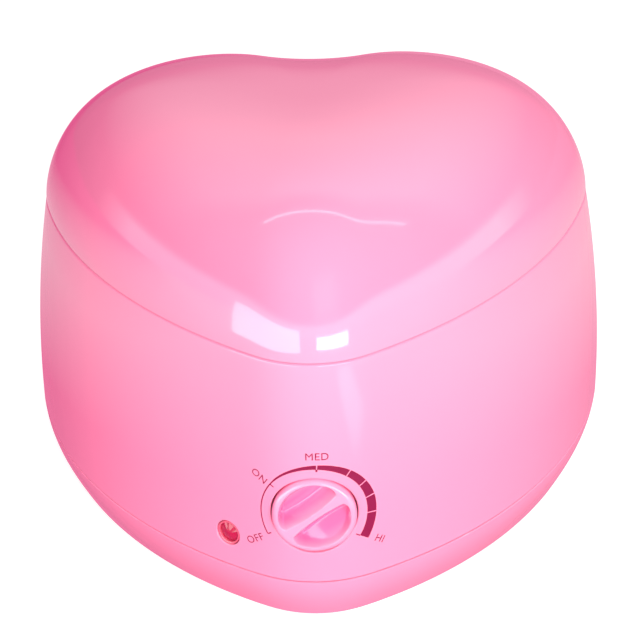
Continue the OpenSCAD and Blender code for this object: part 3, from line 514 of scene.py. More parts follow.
class WallSheets:
    """Outer and inner face of the body's wall, cut by its ports and joined through them."""

    BLEND_RINGS = 6
    BLEND_POWER = 1.4
    EDGE_STEPS = 4
    NEWTON_STEPS = 6
    NUDGE = (1e-5, 1e-2)

    def __init__(self, wall: HeartWall, skin: Skin, columns: int) -> None:
        """Keeps what both faces share.

        Args:
            wall: The wall's surface.
            skin: Where points and faces go.
            columns: Points round each ring.
        """
        self.wall, self.skin, self.columns = wall, skin, columns

    def face(self, heights: Array, off: float, ports: Sequence[Port],
             inside: bool) -> tuple[Array, list[Array]]:
        """Makes one face of the wall.

        Args:
            heights: Height of each ring.
            off: Offset of the face from the wall's outer face.
            ports: Holes through it.
            inside: Whether this is the inner face, whose holes get the boss's outline.

        Returns:
            The grid of point numbers, and the innermost ring of each port.
        """
        grid = self.skin.add(self.wall.loft(self.columns, [(z, off) for z in heights]))
        keep = np.ones((len(heights) - 1, self.columns), bool)
        mouths = []
        for port in ports:
            columns, rows = self._window(port, heights)
            keep[rows[0]:rows[-1], [k % self.columns for k in columns[:-1]]] = False
            mouths.append(self._patch(port, grid, heights, columns, rows, off, inside))
        quads = np.stack([grid[:-1], np.roll(grid, -1, 1)[:-1], np.roll(grid, -1, 1)[1:], grid[1:]], -1)
        self.skin.quads.append(quads[keep])
        return grid, mouths

    def _window(self, port: Port, heights: Array) -> tuple[list[int], list[int]]:
        """Columns and rows of the grid that the port's patch covers."""
        middle = port.turn * self.columns
        span = port.reach_across / self.wall.length * self.columns
        columns = list(range(round(middle - span), round(middle + span) + 1))
        z = port.frame.origin[2]
        low, high = sorted(int(np.abs(heights - k).argmin()) for k in (z - port.reach_up, z + port.reach_up))
        return columns, list(range(low, high + 1))

    def _patch(self, port: Port, grid: Array, heights: Array, columns: list[int], rows: list[int],
               off: float, inside: bool) -> Array:
        """Fills the window with rings that blend from its outline to the port's round mouth.

        Returns:
            Numbers of the port's innermost ring.
        """
        wrap = [k % self.columns for k in columns]
        border = ([(rows[0], k) for k in range(len(columns) - 1)]
                  + [(j, len(columns) - 1) for j in rows[:-1]]
                  + [(rows[-1], k) for k in range(len(columns) - 1, 0, -1)]
                  + [(j, 0) for j in rows[:0:-1]])
        numbers = np.array([grid[j, wrap[k]] for j, k in border])
        turn = np.array([columns[k] / self.columns for _, k in border])
        z = np.array([heights[j] for j, _ in border])
        angle = self._angle(port, self.wall.at(turn, z, off))
        profile = port.boss if inside else port.mouth
        first = profile[0][0] + port.edge
        round_turn, round_z = self.solve(port, first * np.cos(angle), first * np.sin(angle), off)
        last = numbers
        for ease in 1 - (1 - np.linspace(0, 1, self.BLEND_RINGS + 1)[1:]) ** self.BLEND_POWER:
            blend = self.wall.at(turn + ease * (round_turn - turn), z + ease * (round_z - z), off)
            ring = self.skin.add(blend)
            self.skin.band(last, ring)
            last = ring
        foot = port.frame.local(self.wall.at(round_turn, round_z, off))[:, 2]
        plain = inside and len(profile) == 1
        steps = [(profile[0][0] + port.edge * (1 - math.sin(k)), port.edge * (1 - math.cos(k)))
                 for k in np.linspace(0, QUARTER, self.EDGE_STEPS + 1)[1:]]
        for radius, down in steps:
            last = self._collar(port, last, radius, foot + (down if plain else -down), angle)
        for radius, level in profile[1:]:
            last = self._collar(port, last, radius, np.full(len(angle), level), angle)
        return last

    def join(self, port: Port, outer: Array, inner: Array) -> None:
        """Joins the innermost rings of a port's two sides, which run opposite ways.

        Args:
            port: The port.
            outer: Ring that comes in from the outer face.
            inner: Ring that comes in from the inner face.
        """
        points = np.concatenate(self.skin.points)
        inner = inner[::-1]
        start = self._angle(port, points[outer[:1]])[0]
        first, other = ((self._angle(port, points[ring]) - start) % TURN for ring in (outer, inner))
        inner, other = np.roll(inner, -int(other.argmin())), np.roll(other, -int(other.argmin()))
        first_end, other_end = np.append(first[1:], TURN), np.append(other[1:], TURN + other[0])
        across = np.searchsorted(other_end, first_end, side="left") % len(inner)
        back = np.searchsorted(first_end, other_end, side="right") % len(outer)
        self.skin.triangles.append(np.stack([outer, np.roll(outer, -1), inner[across]], -1))
        self.skin.triangles.append(np.stack([outer[back], np.roll(inner, -1), inner], -1))

    @staticmethod
    def _angle(port: Port, points: Array) -> Array:
        """Angle of points round a port's axis."""
        seen = port.frame.local(points)
        return np.arctan2(seen[:, 1], seen[:, 0])

    def _collar(self, port: Port, last: Array, radius: float, level: Array, angle: Array) -> Array:
        """Adds one ring of the port about its own axis and joins it to the last."""
        ring = self.skin.add(port.frame.place(rings([radius], level[None], angle)[0]))
        self.skin.band(last, ring)
        return ring

    def solve(self, port: Port, across: Array, up: Array, off: float) -> tuple[Array, Array]:
        """Finds the wall's points that lie at given places of the port's frame, by Newton's method.

        Returns:
            Way round and height of each point.
        """
        turn = port.turn + across / self.wall.length
        z = port.frame.origin[2] + up
        goal = np.stack([across, up], -1)
        along, down = self.NUDGE
        for _ in range(self.NEWTON_STEPS):
            here, beside, above = (port.frame.local(self.wall.at(turn + a, z + b, off))[:, :2]
                                   for a, b in ((0, 0), (along, 0), (0, down)))
            slopes = np.stack([(beside - here) / along, (above - here) / down], -1)
            step = np.linalg.solve(slopes, (goal - here)[..., None])[..., 0]
            turn, z = turn + step[:, 0], z + step[:, 1]
        return turn, z


# ---- Body, deck, lid and tray ------------------------------------------------------------------------


@dataclass
class DialSizes:
    """Sizes of the dial on the front of the wall, in millimetres and degrees."""

    z: float = 41.0
    tilt: float = 3.0
    knob_r: float = 12.7
    knob_depth: float = 9.0
    knob_proud: float = 0.4
    knob_round: float = 1.6
    knob_rim: float = 2.3
    bar_flare: float = 1.5
    scoop_depth: float = 5.0
    cup_r: float = 13.0
    cup_wall: float = 2.2
    cup_back: float = 9.4
    cup_floor: float = 2.4
    spindle_hole_r: float = 3.4
    screw_x: float = 18.9
    screw_boss_r: float = 3.4
    off_angle: float = -128.0

    @property
    def back(self) -> float:
        """Level of the cup's underside behind the wall's face."""
        return -(self.cup_back + self.cup_floor)


@dataclass
class LampSizes:
    """Sizes of the indicator lamp beside the dial, in millimetres."""

    x: float = -26.65
    z: float = 28.6
    hole_r: float = 4.15
    seat_r: float = 5.4
    seat_wall: float = 1.6
    seat_len: float = 9.0
    lens_r: float = 4.0
    lens_sink: float = 0.9
    lens_flange_r: float = 5.1
    lens_flange_t: float = 1.4


@dataclass
class InletSizes:
    """Sizes of the cord inlet in the back of the wall, in millimetres."""

    z: float = 31.0
    bore_r: float = 3.3
    neck_r: float = 5.9
    flange_r: float = 8.3
    stand: float = 0.7


class WallPlaces:
    """Frames that stand on the wall: at the dial, the lamp and the cord inlet."""

    LAMP_SIDE = np.linspace(0.75, 1.0, 4001)

    def __init__(self, shape: Shape, wall: HeartWall, dial: DialSizes, lamp: LampSizes,
                 inlet: InletSizes) -> None:
        """Works the frames out from the heart's arcs, as the fitted parts do."""
        front, side, back = (shape.heart(shape.share(k.z)) for k in (dial, lamp, inlet))
        self.dial = Frame((0.0, -front.tip_y - front.tip_r, dial.z), dial.tilt)
        centre, lamp_y = side.centres()[1], side.flank_y(-lamp.x)
        facing = math.degrees(math.atan2(lamp.x + centre.real, centre.imag - lamp_y))
        self.lamp = Frame((lamp.x, lamp_y, lamp.z), dial.tilt, facing)
        across = wall.plan(self.LAMP_SIDE, shape.share(lamp.z)).real
        ahead = across > 2 * lamp.x
        self.lamp_turn = float(np.interp(lamp.x, across[ahead], self.LAMP_SIDE[ahead]))
        self.inlet = Frame((0.0, back.centres()[3].imag - back.notch_r, inlet.z), 0.0, 180.0)


@dataclass
class BodyShell:
    """The moulded body and the deck that lies on its ledge."""

    shape: Shape
    wall: HeartWall
    places: WallPlaces
    dial: DialSizes
    lamp: LampSizes
    inlet: InletSizes
    ledge_w: float = 2.2
    ledge_h: float = 2.4
    edge_bevel: float = 0.3
    inner_round: float = 0.5
    port_room: float = 3.3
    seat_room: float = 2.0
    columns: int = 480
    rows: int = 64
    inner_rows: int = 56
    slack: float = 0.1
    deck_gap: float = 0.02
    post_gap: float = 0.15
    deck_bevel: float = 0.4
    post_r: float = 4.2
    boss_r: float = 3.8
    boss_h: float = 8.0
    flank_post_x: float = 46.0

    def ports(self) -> list[Port]:
        """The wall's round openings, each with its boss inside."""
        dial, lamp, places = self.dial, self.lamp, self.places
        hole, neck_r, wall = dial.spindle_hole_r, self.inlet.neck_r + self.slack, self.shape.wall
        boss_r, seat_out = dial.cup_r + dial.cup_wall, lamp.seat_r + lamp.seat_wall
        dial_reach, neck_reach = boss_r + self.port_room, self.inlet.neck_r + self.port_room
        return [
            Port(places.dial, 0.0, ((dial.cup_r, 0.0), (dial.cup_r, -dial.cup_back), (hole, -dial.cup_back)),
                 ((boss_r, 0.0), (boss_r, dial.back), (hole, dial.back)), dial_reach, dial_reach),
            Port(places.lamp, places.lamp_turn,
                 ((lamp.hole_r, 0.0), (lamp.hole_r, -wall), (lamp.seat_r, -wall)),
                 ((seat_out, 0.0), (seat_out, -lamp.seat_len), (lamp.seat_r, -lamp.seat_len)),
                 seat_out + self.seat_room, seat_out + self.seat_room),
            Port(places.inlet, 0.5, ((neck_r, 0.0),), ((neck_r, 0.0),), neck_reach, neck_reach)]

    def build_housing(self) -> bpy.types.Object:
        """Body: outer face up from the base line, over the rim, down inside past the ledge, closed below."""
        shape, skin = self.shape, Skin()
        sheets = WallSheets(self.wall, skin, self.columns)
        low, high = shape.crease_z + shape.seam_gap / 2, shape.seam_z - shape.seam_gap / 2
        outer_z = np.linspace(low + self.edge_bevel, high - shape.rim_round, self.rows)
        outer, mouths = sheets.face(outer_z, 0.0, self.ports(), inside=False)
        under = shape.deck_z - shape.deck_t
        ledge_low = under - self.ledge_h
        inner_z = np.linspace(ledge_low, low + self.inner_round, self.inner_rows)
        inner, bosses = sheets.face(inner_z, -shape.wall, self.ports(), inside=True)
        for port, mouth, boss in zip(self.ports(), mouths, bosses):
            sheets.join(port, mouth, boss)
        turn = np.linspace(0, QUARTER, 7)[1:]
        r, r_in = shape.rim_round, self.inner_round
        rim = [(high - r * (1 - math.sin(a)), -r * (1 - math.cos(a))) for a in turn]
        back = [(high - r_in * (1 - math.cos(a)), -shape.wall + r_in * (1 - math.sin(a))) for a in turn]
        shelf, ledge_top = -shape.wall - self.ledge_w, under - self.deck_gap
        down = [(z, -shape.wall) for z in np.linspace(high - self.inner_round, ledge_top, 9)[1:]]
        ledge = [(ledge_top, shelf), (ledge_low + self.ledge_w / 2, shelf)]
        foot = [(low, -shape.wall + self.inner_round), (low, -self.edge_bevel)]
        over = rim + back + down + ledge
        for start, levels, end in ((outer[-1], over, inner[0]), (inner[-1], foot, outer[0])):
            grid = skin.add(self.wall.loft(self.columns, levels))
            skin.sheet(np.concatenate([start[None], grid, end[None]]))
        return skin.build("body_shell", 40.0)

    def build_deck(self, pot_y: float, opening_r: float, screw_r: float) -> bpy.types.Object:
        """Deck: a heart-shaped plate with the well's opening, its screw bosses and the long screw posts.

        Args:
            pot_y: Distance of the pot's axis behind the origin.
            opening_r: Radius of the opening.
            screw_r: Radius of the circle of the flange screws.

        Returns:
            One mesh of closed solids, each plate ring blended from the heart to the round opening.
        """
        shape, skin, bevel = self.shape, Skin(), self.deck_bevel
        top, under = shape.deck_z, shape.deck_z - shape.deck_t
        turns = np.arange(self.columns) / self.columns
        edge = self.wall.plan(turns, shape.share(top), -shape.wall - self.slack)
        lip = np.exp(1j * np.angle(edge - 1j * pot_y))
        hole = 1j * pot_y + opening_r * lip
        rows = [(edge + share * (hole - edge), z)
                for share, z in ((0.0, under), (0.0, top), (0.25, top), (0.5, top), (0.75, top))]
        rows += [(hole + bevel * lip, top), (hole, top - bevel), (hole, under), ((edge + hole) / 2, under)]
        grid = skin.add(np.stack([raised(p, z) for p, z in rows]))
        skin.sheet(grid)
        skin.band(grid[-1], grid[0])
        corners = np.radians([45, 135, 225, 315])
        screws = zip(screw_r * np.cos(corners), pot_y + screw_r * np.sin(corners))
        head = under + self.slack
        for radius, low, places in ((self.post_r, shape.crease_z + self.post_gap, self.post_places()),
                                    (self.boss_r, under - self.boss_h, screws)):
            post = rounded_profile([(0, low, 0), (radius, low, 0.5), (radius, head, 0), (0, head, 0)])
            for x, y in places:
                skin.turned(post, POST_STEPS, moved(x, y, 0.0))
        return skin.build("deck_plate", 35.0)

    def post_places(self) -> list[tuple[float, float]]:
        """Places of the screw posts, from the lobes' centres and from the flanks."""
        base, x = self.shape.heart(1.0), self.flank_post_x
        right = [(base.lobe_x + 18.0, base.lobe_y + 11.5), (x, base.flank_y(x) + 23.4)]
        return [(side * x, y) for x, y in right for side in (-1, 1)]

    def build_plate_bosses(self) -> bpy.types.Object:
        """The two bosses behind the wall that take the thermostat's screws, their tops along its middle."""
        skin, dial = Skin(), self.dial
        sheets = WallSheets(self.wall, skin, self.columns)
        depth, a = -self.shape.wall / 2, angles(POST_STEPS)
        for side in (-1, 1):
            across = side * dial.screw_x + dial.screw_boss_r * np.cos(a)
            up = dial.screw_boss_r * np.sin(a)
            top = self.wall.at(*sheets.solve(self.ports()[0], across, up, depth), depth)
            foot = self.places.dial.place(np.stack([across, up, np.full(len(a), dial.back)], -1))
            skin.tube(np.stack([foot, top]), foot.mean(0), top.mean(0))
        return skin.build("thermostat_bosses", 35.0)


@dataclass
class Lid:
    """Domed lid with the lip that locates it in the body."""

    shape: Shape
    wall: HeartWall
    edge_round: float = 0.45
    lip_bevel: float = 0.4
    least_lift: float = 0.3
    outer_start: float = 0.6
    inner_start: float = 14.0
    section_r: float = 85.0
    section_steps: int = 20001
    columns: int = 480
    rings: int = 96

    def _angles(self, first: float) -> Array:
        """Angles from the first, in degrees, to the crown, at even distances along the dome's section."""
        a = np.linspace(math.radians(first), QUARTER, self.section_steps)
        r = self.section_r * np.cos(a).clip(0) ** (2 / self.shape.dome_plan_power)
        z = self.shape.dome_h * np.sin(a) ** (2 / self.shape.dome_rise_power)
        length = np.concatenate([[0], np.cumsum(np.hypot(np.diff(r), np.diff(z)))])
        return np.interp(np.linspace(0, length[-1], self.rings), length, a)[:-1]

    def build(self) -> bpy.types.Object:
        """Lid: dome up from its edge to the crown, and inside from the crown down the lip and back out."""
        shape, wall, skin = self.shape, self.wall, Skin()
        edge_z = shape.seam_z + shape.seam_gap / 2
        turns = np.arange(self.columns) / self.columns
        outer_angles, inner_angles = self._angles(self.outer_start), self._angles(self.inner_start)
        outer = skin.add(wall.dome(turns, outer_angles[:, None], 0.0, shape.dome_h))
        inner = skin.add(wall.dome(turns, inner_angles[::-1, None], -shape.lid_wall,
                                   shape.dome_h - shape.lid_wall))
        end = shape.seam_z - shape.lid_lip
        levels = [(shape.seam_z + shape.lid_wall, shape.lip_in), (end + self.lip_bevel, shape.lip_in),
                  (end, shape.lip_in + self.lip_bevel), (end, shape.lip_out - self.lip_bevel),
                  (end + self.lip_bevel, shape.lip_out), (edge_z, shape.lip_out), (edge_z, -self.edge_round)]
        rise = shape.seam_z + shape.dome_h * math.sin(outer_angles[0]) ** (2 / shape.dome_rise_power)
        lift = max(rise - edge_z, self.least_lift)
        levels += [(edge_z + lift * (1 - math.cos(a)), -self.edge_round * (1 - math.sin(a)))
                   for a in np.linspace(0, QUARTER, 5)[1:-1]]
        lip = skin.add(wall.loft(self.columns, levels))
        crown = np.array([0.0, shape.dome_mid, shape.seam_z + shape.dome_h])
        skin.cap(outer[-1], crown)
        skin.sheet(outer)
        skin.cap(inner[0], crown - [0.0, 0.0, shape.lid_wall], flip=True)
        skin.sheet(np.concatenate([inner, lip, outer[:1]]))
        return skin.build("lid_dome", 40.0)


@dataclass
class BaseTray:
    """Dish that closes the body from below, with its vents, foot pockets and screw wells."""

    shape: Shape
    wall: HeartWall
    shell: BodyShell
    edge_bevel: float = 0.3
    vent_w: float = 3.0
    vent_l: float = 26.0
    vent_x: float = 24.0
    vent_rows: int = 5
    vent_pitch: float = 12.0
    vent_front: float = -18.0
    foot_r: float = 7.1
    pocket: float = 1.2
    screw_well_r: float = 3.6
    screw_seat: float = 5.5
    post_r: float = 5.2
    columns: int = 480

    def _pockets(self) -> list[tuple[float, float, float, float]]:
        """Centre, radius and depth of each foot pocket and screw well."""
        base = self.shape.heart(1.0)
        right = [(base.lobe_x - 4.0, base.lobe_y + 23.5), (24.0, -base.tip_y - 7.0)]
        feet = [(side * x, y, self.foot_r, self.pocket) for x, y in right for side in (-1, 1)]
        return feet + [(x, y, self.screw_well_r, self.screw_seat) for x, y in self.shell.post_places()]

    def _vents(self) -> list[Array]:
        """Outline of each vent: a slot with round ends."""
        r = self.vent_w / 2
        end = self.vent_l / 2 - r + r * np.exp(1j * np.linspace(-QUARTER, QUARTER, 9))
        slot = np.concatenate([end, -end])
        return [side * self.vent_x + 1j * (self.vent_front + self.vent_pitch * k) + slot
                for side in (-1, 1) for k in range(self.vent_rows)]

    def build(self) -> bpy.types.Object:
        """Tray: underside with its openings, quarter-round edge, lip, and inner floor."""
        shape, skin = self.shape, Skin()
        low, floor = shape.foot_proud, shape.foot_proud + shape.tray_floor
        top, lip_z = shape.crease_z - shape.seam_gap / 2, shape.crease_z + shape.tray_lip
        levels = [(low + shape.tray_h * a / QUARTER, -shape.base_round * (1 - math.sin(a)))
                  for a in np.linspace(0, QUARTER, 15)[:-1]]
        levels += [(top - self.edge_bevel, 0.0), (top, -self.edge_bevel), (top, shape.lip_out),
                   (lip_z, shape.lip_out), (lip_z, shape.lip_in), (low + shape.tray_h / 2, shape.lip_in),
                   (floor, shape.lip_in - shape.base_round + 1.0)]
        outside = skin.add(self.wall.loft(self.columns, levels))
        skin.sheet(outside)

        def tube(outline: Array, foot: float, head: float, inward: bool) -> tuple[Array, Array]:
            """Adds an upright tube and returns the numbers of its rings at the foot and the head."""
            ends = skin.add(np.stack([raised(outline, foot), raised(outline, head)]))
            skin.sheet(ends[::-1] if inward else ends)
            return ends

        below, above = [], []
        for outline in self._vents():
            foot, head = tube(outline, low, floor, inward=True)
            below.append(foot)
            above.append(head)
        disc = np.exp(1j * angles(POST_STEPS))
        for x, y, r, depth in self._pockets():
            foot, head = tube(x + 1j * y + r * disc, low, low + depth, inward=True)
            skin.cap(head, (x, y, low + depth), flip=True)
            below.append(foot)
        for x, y in self.shell.post_places():
            foot, head = tube(x + 1j * y + self.post_r * disc, floor, top, inward=False)
            skin.cap(head, (x, y, top))
            above.append(foot)
        skin.plate(outside[0], below, up=False)
        skin.plate(outside[-1], above, up=True)
        return skin.build("base_dish", 35.0)


# ---- Dial, lamp and cord inlet -----------------------------------------------------------------------


@dataclass
class Knob:
    """Round knob, flush with the wall, with a finger bar between two scoops."""

    sizes: DialSizes
    frame: Frame
    ridge: float = 0.8
    bar_side: float = 3.6
    rim_side: float = 1.5
    shelf: float = 0.9
    rim_overlap: float = 0.5
    toe: float = 0.35
    back_bevel: float = 0.4
    rings: int = 96
    steps: int = 288

    def _depth(self, across: Array, radius: Array) -> Array:
        """Depth of the scoops below the rim's plane.

        Args:
            across: Distance from the bar's middle line.
            radius: Distance from the knob's axis.

        Returns:
            A floor that slopes from its deepest line at the bar's foot up to the rim, times a smooth step
            over the scoop's edge. The step is long beside the bar and short at the rim, and a rounded
            minimum of the two joins them.
        """
        sizes = self.sizes
        reach = sizes.knob_r - sizes.knob_rim + self.rim_overlap
        along = np.sqrt(np.maximum(radius**2 - across**2, 0))
        bar = self.ridge + sizes.bar_flare * (along / sizes.knob_r) ** 2
        from_bar, from_rim = np.abs(across) - bar, reach - radius
        a, b = (np.maximum(1 - gap / width, 0)
                for gap, width in ((from_bar, self.bar_side), (from_rim, self.rim_side)))
        step = np.clip(1 - np.hypot(a, b), 0, 1)
        step = step * (2 - step) * (self.toe + (1 - self.toe) * step * (2 - step))
        rise = np.clip((from_bar - self.bar_side) / (reach - self.ridge - self.bar_side), 0, 1)
        return (sizes.scoop_depth - (sizes.scoop_depth - self.shelf) * rise) * step

    def build(self) -> bpy.types.Object:
        """Knob: height field over the face, rounded rim, side and back."""
        sizes, skin, a = self.sizes, Skin(), angles(self.steps)
        proud, curve, back = sizes.knob_proud, sizes.knob_round, -sizes.knob_depth
        radius = np.linspace(0, sizes.knob_r - curve, self.rings)[1:]
        across = radius[:, None] * np.cos(a)
        face = rings(radius, proud - self._depth(across, np.broadcast_to(radius[:, None], across.shape)), a)
        side = [(sizes.knob_r - curve * (1 - math.sin(k)), proud - curve * (1 - math.cos(k)))
                for k in np.linspace(0, QUARTER, 9)[1:]]
        side += [(sizes.knob_r, back + self.back_bevel), (sizes.knob_r - self.back_bevel, back)]
        points = np.concatenate([face, rings(*np.array(side).T, a)])
        at_off = spin(math.radians(-sizes.off_angle))
        middles = np.array([[0, 0, proud], [0, 0, back]])
        skin.tube(*(self.frame.place(k @ at_off) for k in (points, *middles)))
        return skin.build("dial_knob", 50.0)


@dataclass
class DialPrint:
    """Printed scale round the knob: a widening band with gaps and ticks, and its words."""

    wall: HeartWall
    shape: Shape
    sizes: DialSizes
    inner_r: float = 16.2
    off_end: float = -119.1
    on_tick: float = -53.8
    med_tick: float = 3.3
    high_end: float = 122.6
    cuts: tuple[float, ...] = (37.0, 58.0, 76.0, 95.0)
    gap: float = 0.34
    film: float = 0.03
    sunk: float = 0.05
    word_h: float = 2.5
    cap_share: float = 0.73
    level_within: float = 20.0
    words: tuple[tuple[str, float, float], ...] = (
        ("OFF", -120.4, 21.6), ("ON", -55.4, 20.4), ("MED", 3.2, 20.6), ("HI", 120.4, 23.4))

    def _on_wall(self, across: Array, up: Array, off: Union[float, Array]) -> Array:
        """Point of the wall at a distance along it and up it from the dial's axis."""
        z = self.sizes.z + up * math.cos(math.radians(self.sizes.tilt))
        return self.wall.at(across / self.wall.length, z, off)

    def _outer(self, angle: Array) -> Array:
        """Outer radius of the band, which widens from the first tick on to the high end."""
        knots = (self.off_end, self.on_tick, -20.0, self.med_tick, 30.0, 76.0, self.high_end)
        return self.inner_r + np.interp(angle, knots, (0.35, 0.4, 0.95, 1.45, 2.15, 2.95, 3.1))

    def _patch(self, skin: Skin, inner: float, outer: Union[float, Array], degrees: Array) -> None:
        """Adds one piece of film between two radii over a run of angles, closed all round."""
        radii = np.stack([(inner + (outer - inner) * k) * np.ones(len(degrees)) for k in (0.0, 0.5, 1.0)])
        a = np.radians(degrees)
        top, under = (skin.add(self._on_wall(radii * np.sin(a), radii * np.cos(a), off))
                      for off in (self.film, -self.sunk))
        for grid, order in ((top, 1), (under, -1)):
            corners = (grid[:-1, :-1], grid[1:, :-1], grid[1:, 1:], grid[:-1, 1:])
            skin.quads.append(np.stack(corners[::order], -1).reshape(-1, 4))
        last = len(a) - 1
        border = [(0, j) for j in range(last)] + [(i, last) for i in (0, 1)]
        border += [(2, j) for j in range(last, -1, -1)] + [(1, 0)]
        rows, cols = np.array(border).T
        skin.band(under[rows, cols][::-1], top[rows, cols][::-1])

    def build_scale(self) -> bpy.types.Object:
        """Scale of thin closed films: the runs of the band, the ticks that point inwards and the hooks."""
        skin = Skin()
        stops = (self.off_end, self.med_tick, *self.cuts, self.high_end)
        half = math.degrees(self.gap / 2 / (self.inner_r + 1.3))
        for start, end in zip(stops[:-1], stops[1:]):
            first = start + (half if start > self.off_end else 0)
            last = end - (half if end < self.high_end else 0)
            run = np.linspace(first, last, max(4, int((last - first) / 2) + 1))
            self._patch(skin, self.inner_r, self._outer(run), run)
        for angle, depth, width in ((self.off_end, 1.1, 0.4), (self.on_tick, 1.2, 0.35),
                                    (self.med_tick, 0.75, 0.6), (self.high_end, 1.5, 0.4)):
            half = math.degrees(width / 2 / self.inner_r)
            self._patch(skin, self.inner_r - depth, self.inner_r + 0.05, angle + np.array([-half, 0, half]))
        return skin.build("dial_scale", 30.0)

    def build_word(self, word: str, angle: float, radius: float) -> bpy.types.Object:
        """One word, made a mesh and laid on the wall.

        Args:
            word: Its letters.
            angle: Where it stands round the dial, clockwise from the top, in degrees.
            radius: Distance of its middle from the dial's axis.

        Returns:
            A mesh of thin closed letters that read along the radius, or level near the top.
        """
        name = "word_" + word.lower()
        curve = bpy.data.curves.new(name, "FONT")
        curve.body, curve.align_x, curve.align_y = word, "CENTER", "CENTER"
        curve.size, curve.extrude, curve.resolution_u = self.word_h / self.cap_share, 0.5, 6
        curve.space_character = 1.08
        flat = linked(name, curve)
        bpy.context.view_layer.update()
        mesh = bpy.data.meshes.new_from_object(flat.evaluated_get(bpy.context.evaluated_depsgraph_get()))
        bpy.data.objects.remove(flat)
        points = np.empty(len(mesh.vertices) * 3, np.float32)
        mesh.vertices.foreach_get("co", points)
        points = points.reshape(-1, 3).astype(float)
        points[:, :2] -= (points[:, :2].max(0) + points[:, :2].min(0)) / 2
        a = math.radians(angle)
        lean = math.copysign(QUARTER, angle) - a if abs(angle) > self.level_within else 0.0
        x, y, front = (points @ spin(lean)).T
        off = np.where(front > 0, self.film, -self.sunk)
        placed = self._on_wall(x + radius * math.sin(a), y + radius * math.cos(a), off) * MM
        mesh.vertices.foreach_set("co", placed.astype(np.float32).ravel())
        mesh.update()
        merge_close(mesh)
        return linked(name, mesh)


def merge_close(mesh: bpy.types.Mesh, distance: float = 1e-7) -> None:
    """Merges points that lie together and turns the faces outwards."""
    form = bmesh.new()
    form.from_mesh(mesh)
    bmesh.ops.remove_doubles(form, verts=form.verts, dist=distance)
    bmesh.ops.recalc_face_normals(form, faces=form.faces)
    form.to_mesh(mesh)
    form.free()


@dataclass
class LampLens:
    """Red window of the indicator lamp, cut with facets, and the paler ring round it."""

    sizes: LampSizes
    frame: Frame
    wall_t: float
    facets: int = 10
    rings: int = 12
    facet_steps: int = 12
    face_share: float = 0.8
    crown: float = -0.1
    cone: float = 0.8
    groove: float = 0.7

    def build(self) -> bpy.types.Object:
        """Lens: a shallow cone whose slope is shared between flat facets, on the flange that seats it."""
        sizes, skin, a = self.sizes, Skin(), angles(self.facets * self.facet_steps)
        lens_r, flange_r, face = sizes.lens_r, sizes.lens_flange_r, self.face_share * sizes.lens_r
        front, low = -self.wall_t - 0.15, -sizes.lens_sink - self.groove
        back = front - sizes.lens_flange_t
        radius = np.linspace(0, face, self.rings)[1:]
        sector = np.abs((a * self.facets / TURN) % 1 - 0.5) * 2
        flat = np.cos(math.pi / self.facets) / np.cos((1 - sector) * math.pi / self.facets)
        height = self.crown - self.cone * (radius[:, None] / face) ** 1.4 / flat**3
        outer = rings((face + 0.05, lens_r, lens_r, flange_r, flange_r), (low, low, front, front, back), a)
        points = np.concatenate([rings(radius, height, a), outer])
        skin.tube(*(self.frame.place(k) for k in (points, (0, 0, self.crown), (0, 0, back))))
        return skin.build("lamp_window", 12.0)

    def build_ring(self) -> bpy.types.Object:
        """Ring: rim round the facets, with rounded edges, turned round the lamp's axis."""
        sizes, skin = self.sizes, Skin()
        inner, low = self.face_share * sizes.lens_r + 0.08, -sizes.lens_sink - self.groove + 0.02
        profile = rounded_profile([(inner, low, 0.0), (inner, -0.45, 0.12), (sizes.lens_r - 0.1, -0.2, 0.25),
                                   (sizes.lens_r - 0.02, low, 0.0)])
        skin.turned(profile, self.facets * self.facet_steps, self.frame.place)
        return skin.build("lamp_ring", 40.0)


@dataclass
class CordInlet:
    """Round bushing of the cord inlet, with a ribbed face."""

    sizes: InletSizes
    frame: Frame
    out: float = 3.0
    back: float = -9.2

    def build(self) -> bpy.types.Object:
        """Bushing: its half section turned round the bore's axis."""
        s, skin = self.sizes, Skin()
        profile = rounded_profile([
            (s.bore_r, self.back, 0), (s.neck_r, self.back, 0.4), (s.neck_r, 0, 0.1), (s.flange_r, 0, 0.2),
            (s.flange_r, 1.2, 0.4), (s.flange_r - 1, 2.2, 0.5), (s.bore_r + 2.4, 2.4, 0.3),
            (s.bore_r + 1.6, self.out, 0.4), (s.bore_r, self.out, 0.4)])
        skin.turned(profile, 96, lambda p: self.frame.place(p + np.array([0, 0, s.stand])))
        return skin.build("inlet_bushing", 30.0)


# ---- Bucket and well ---------------------------------------------------------------------------------


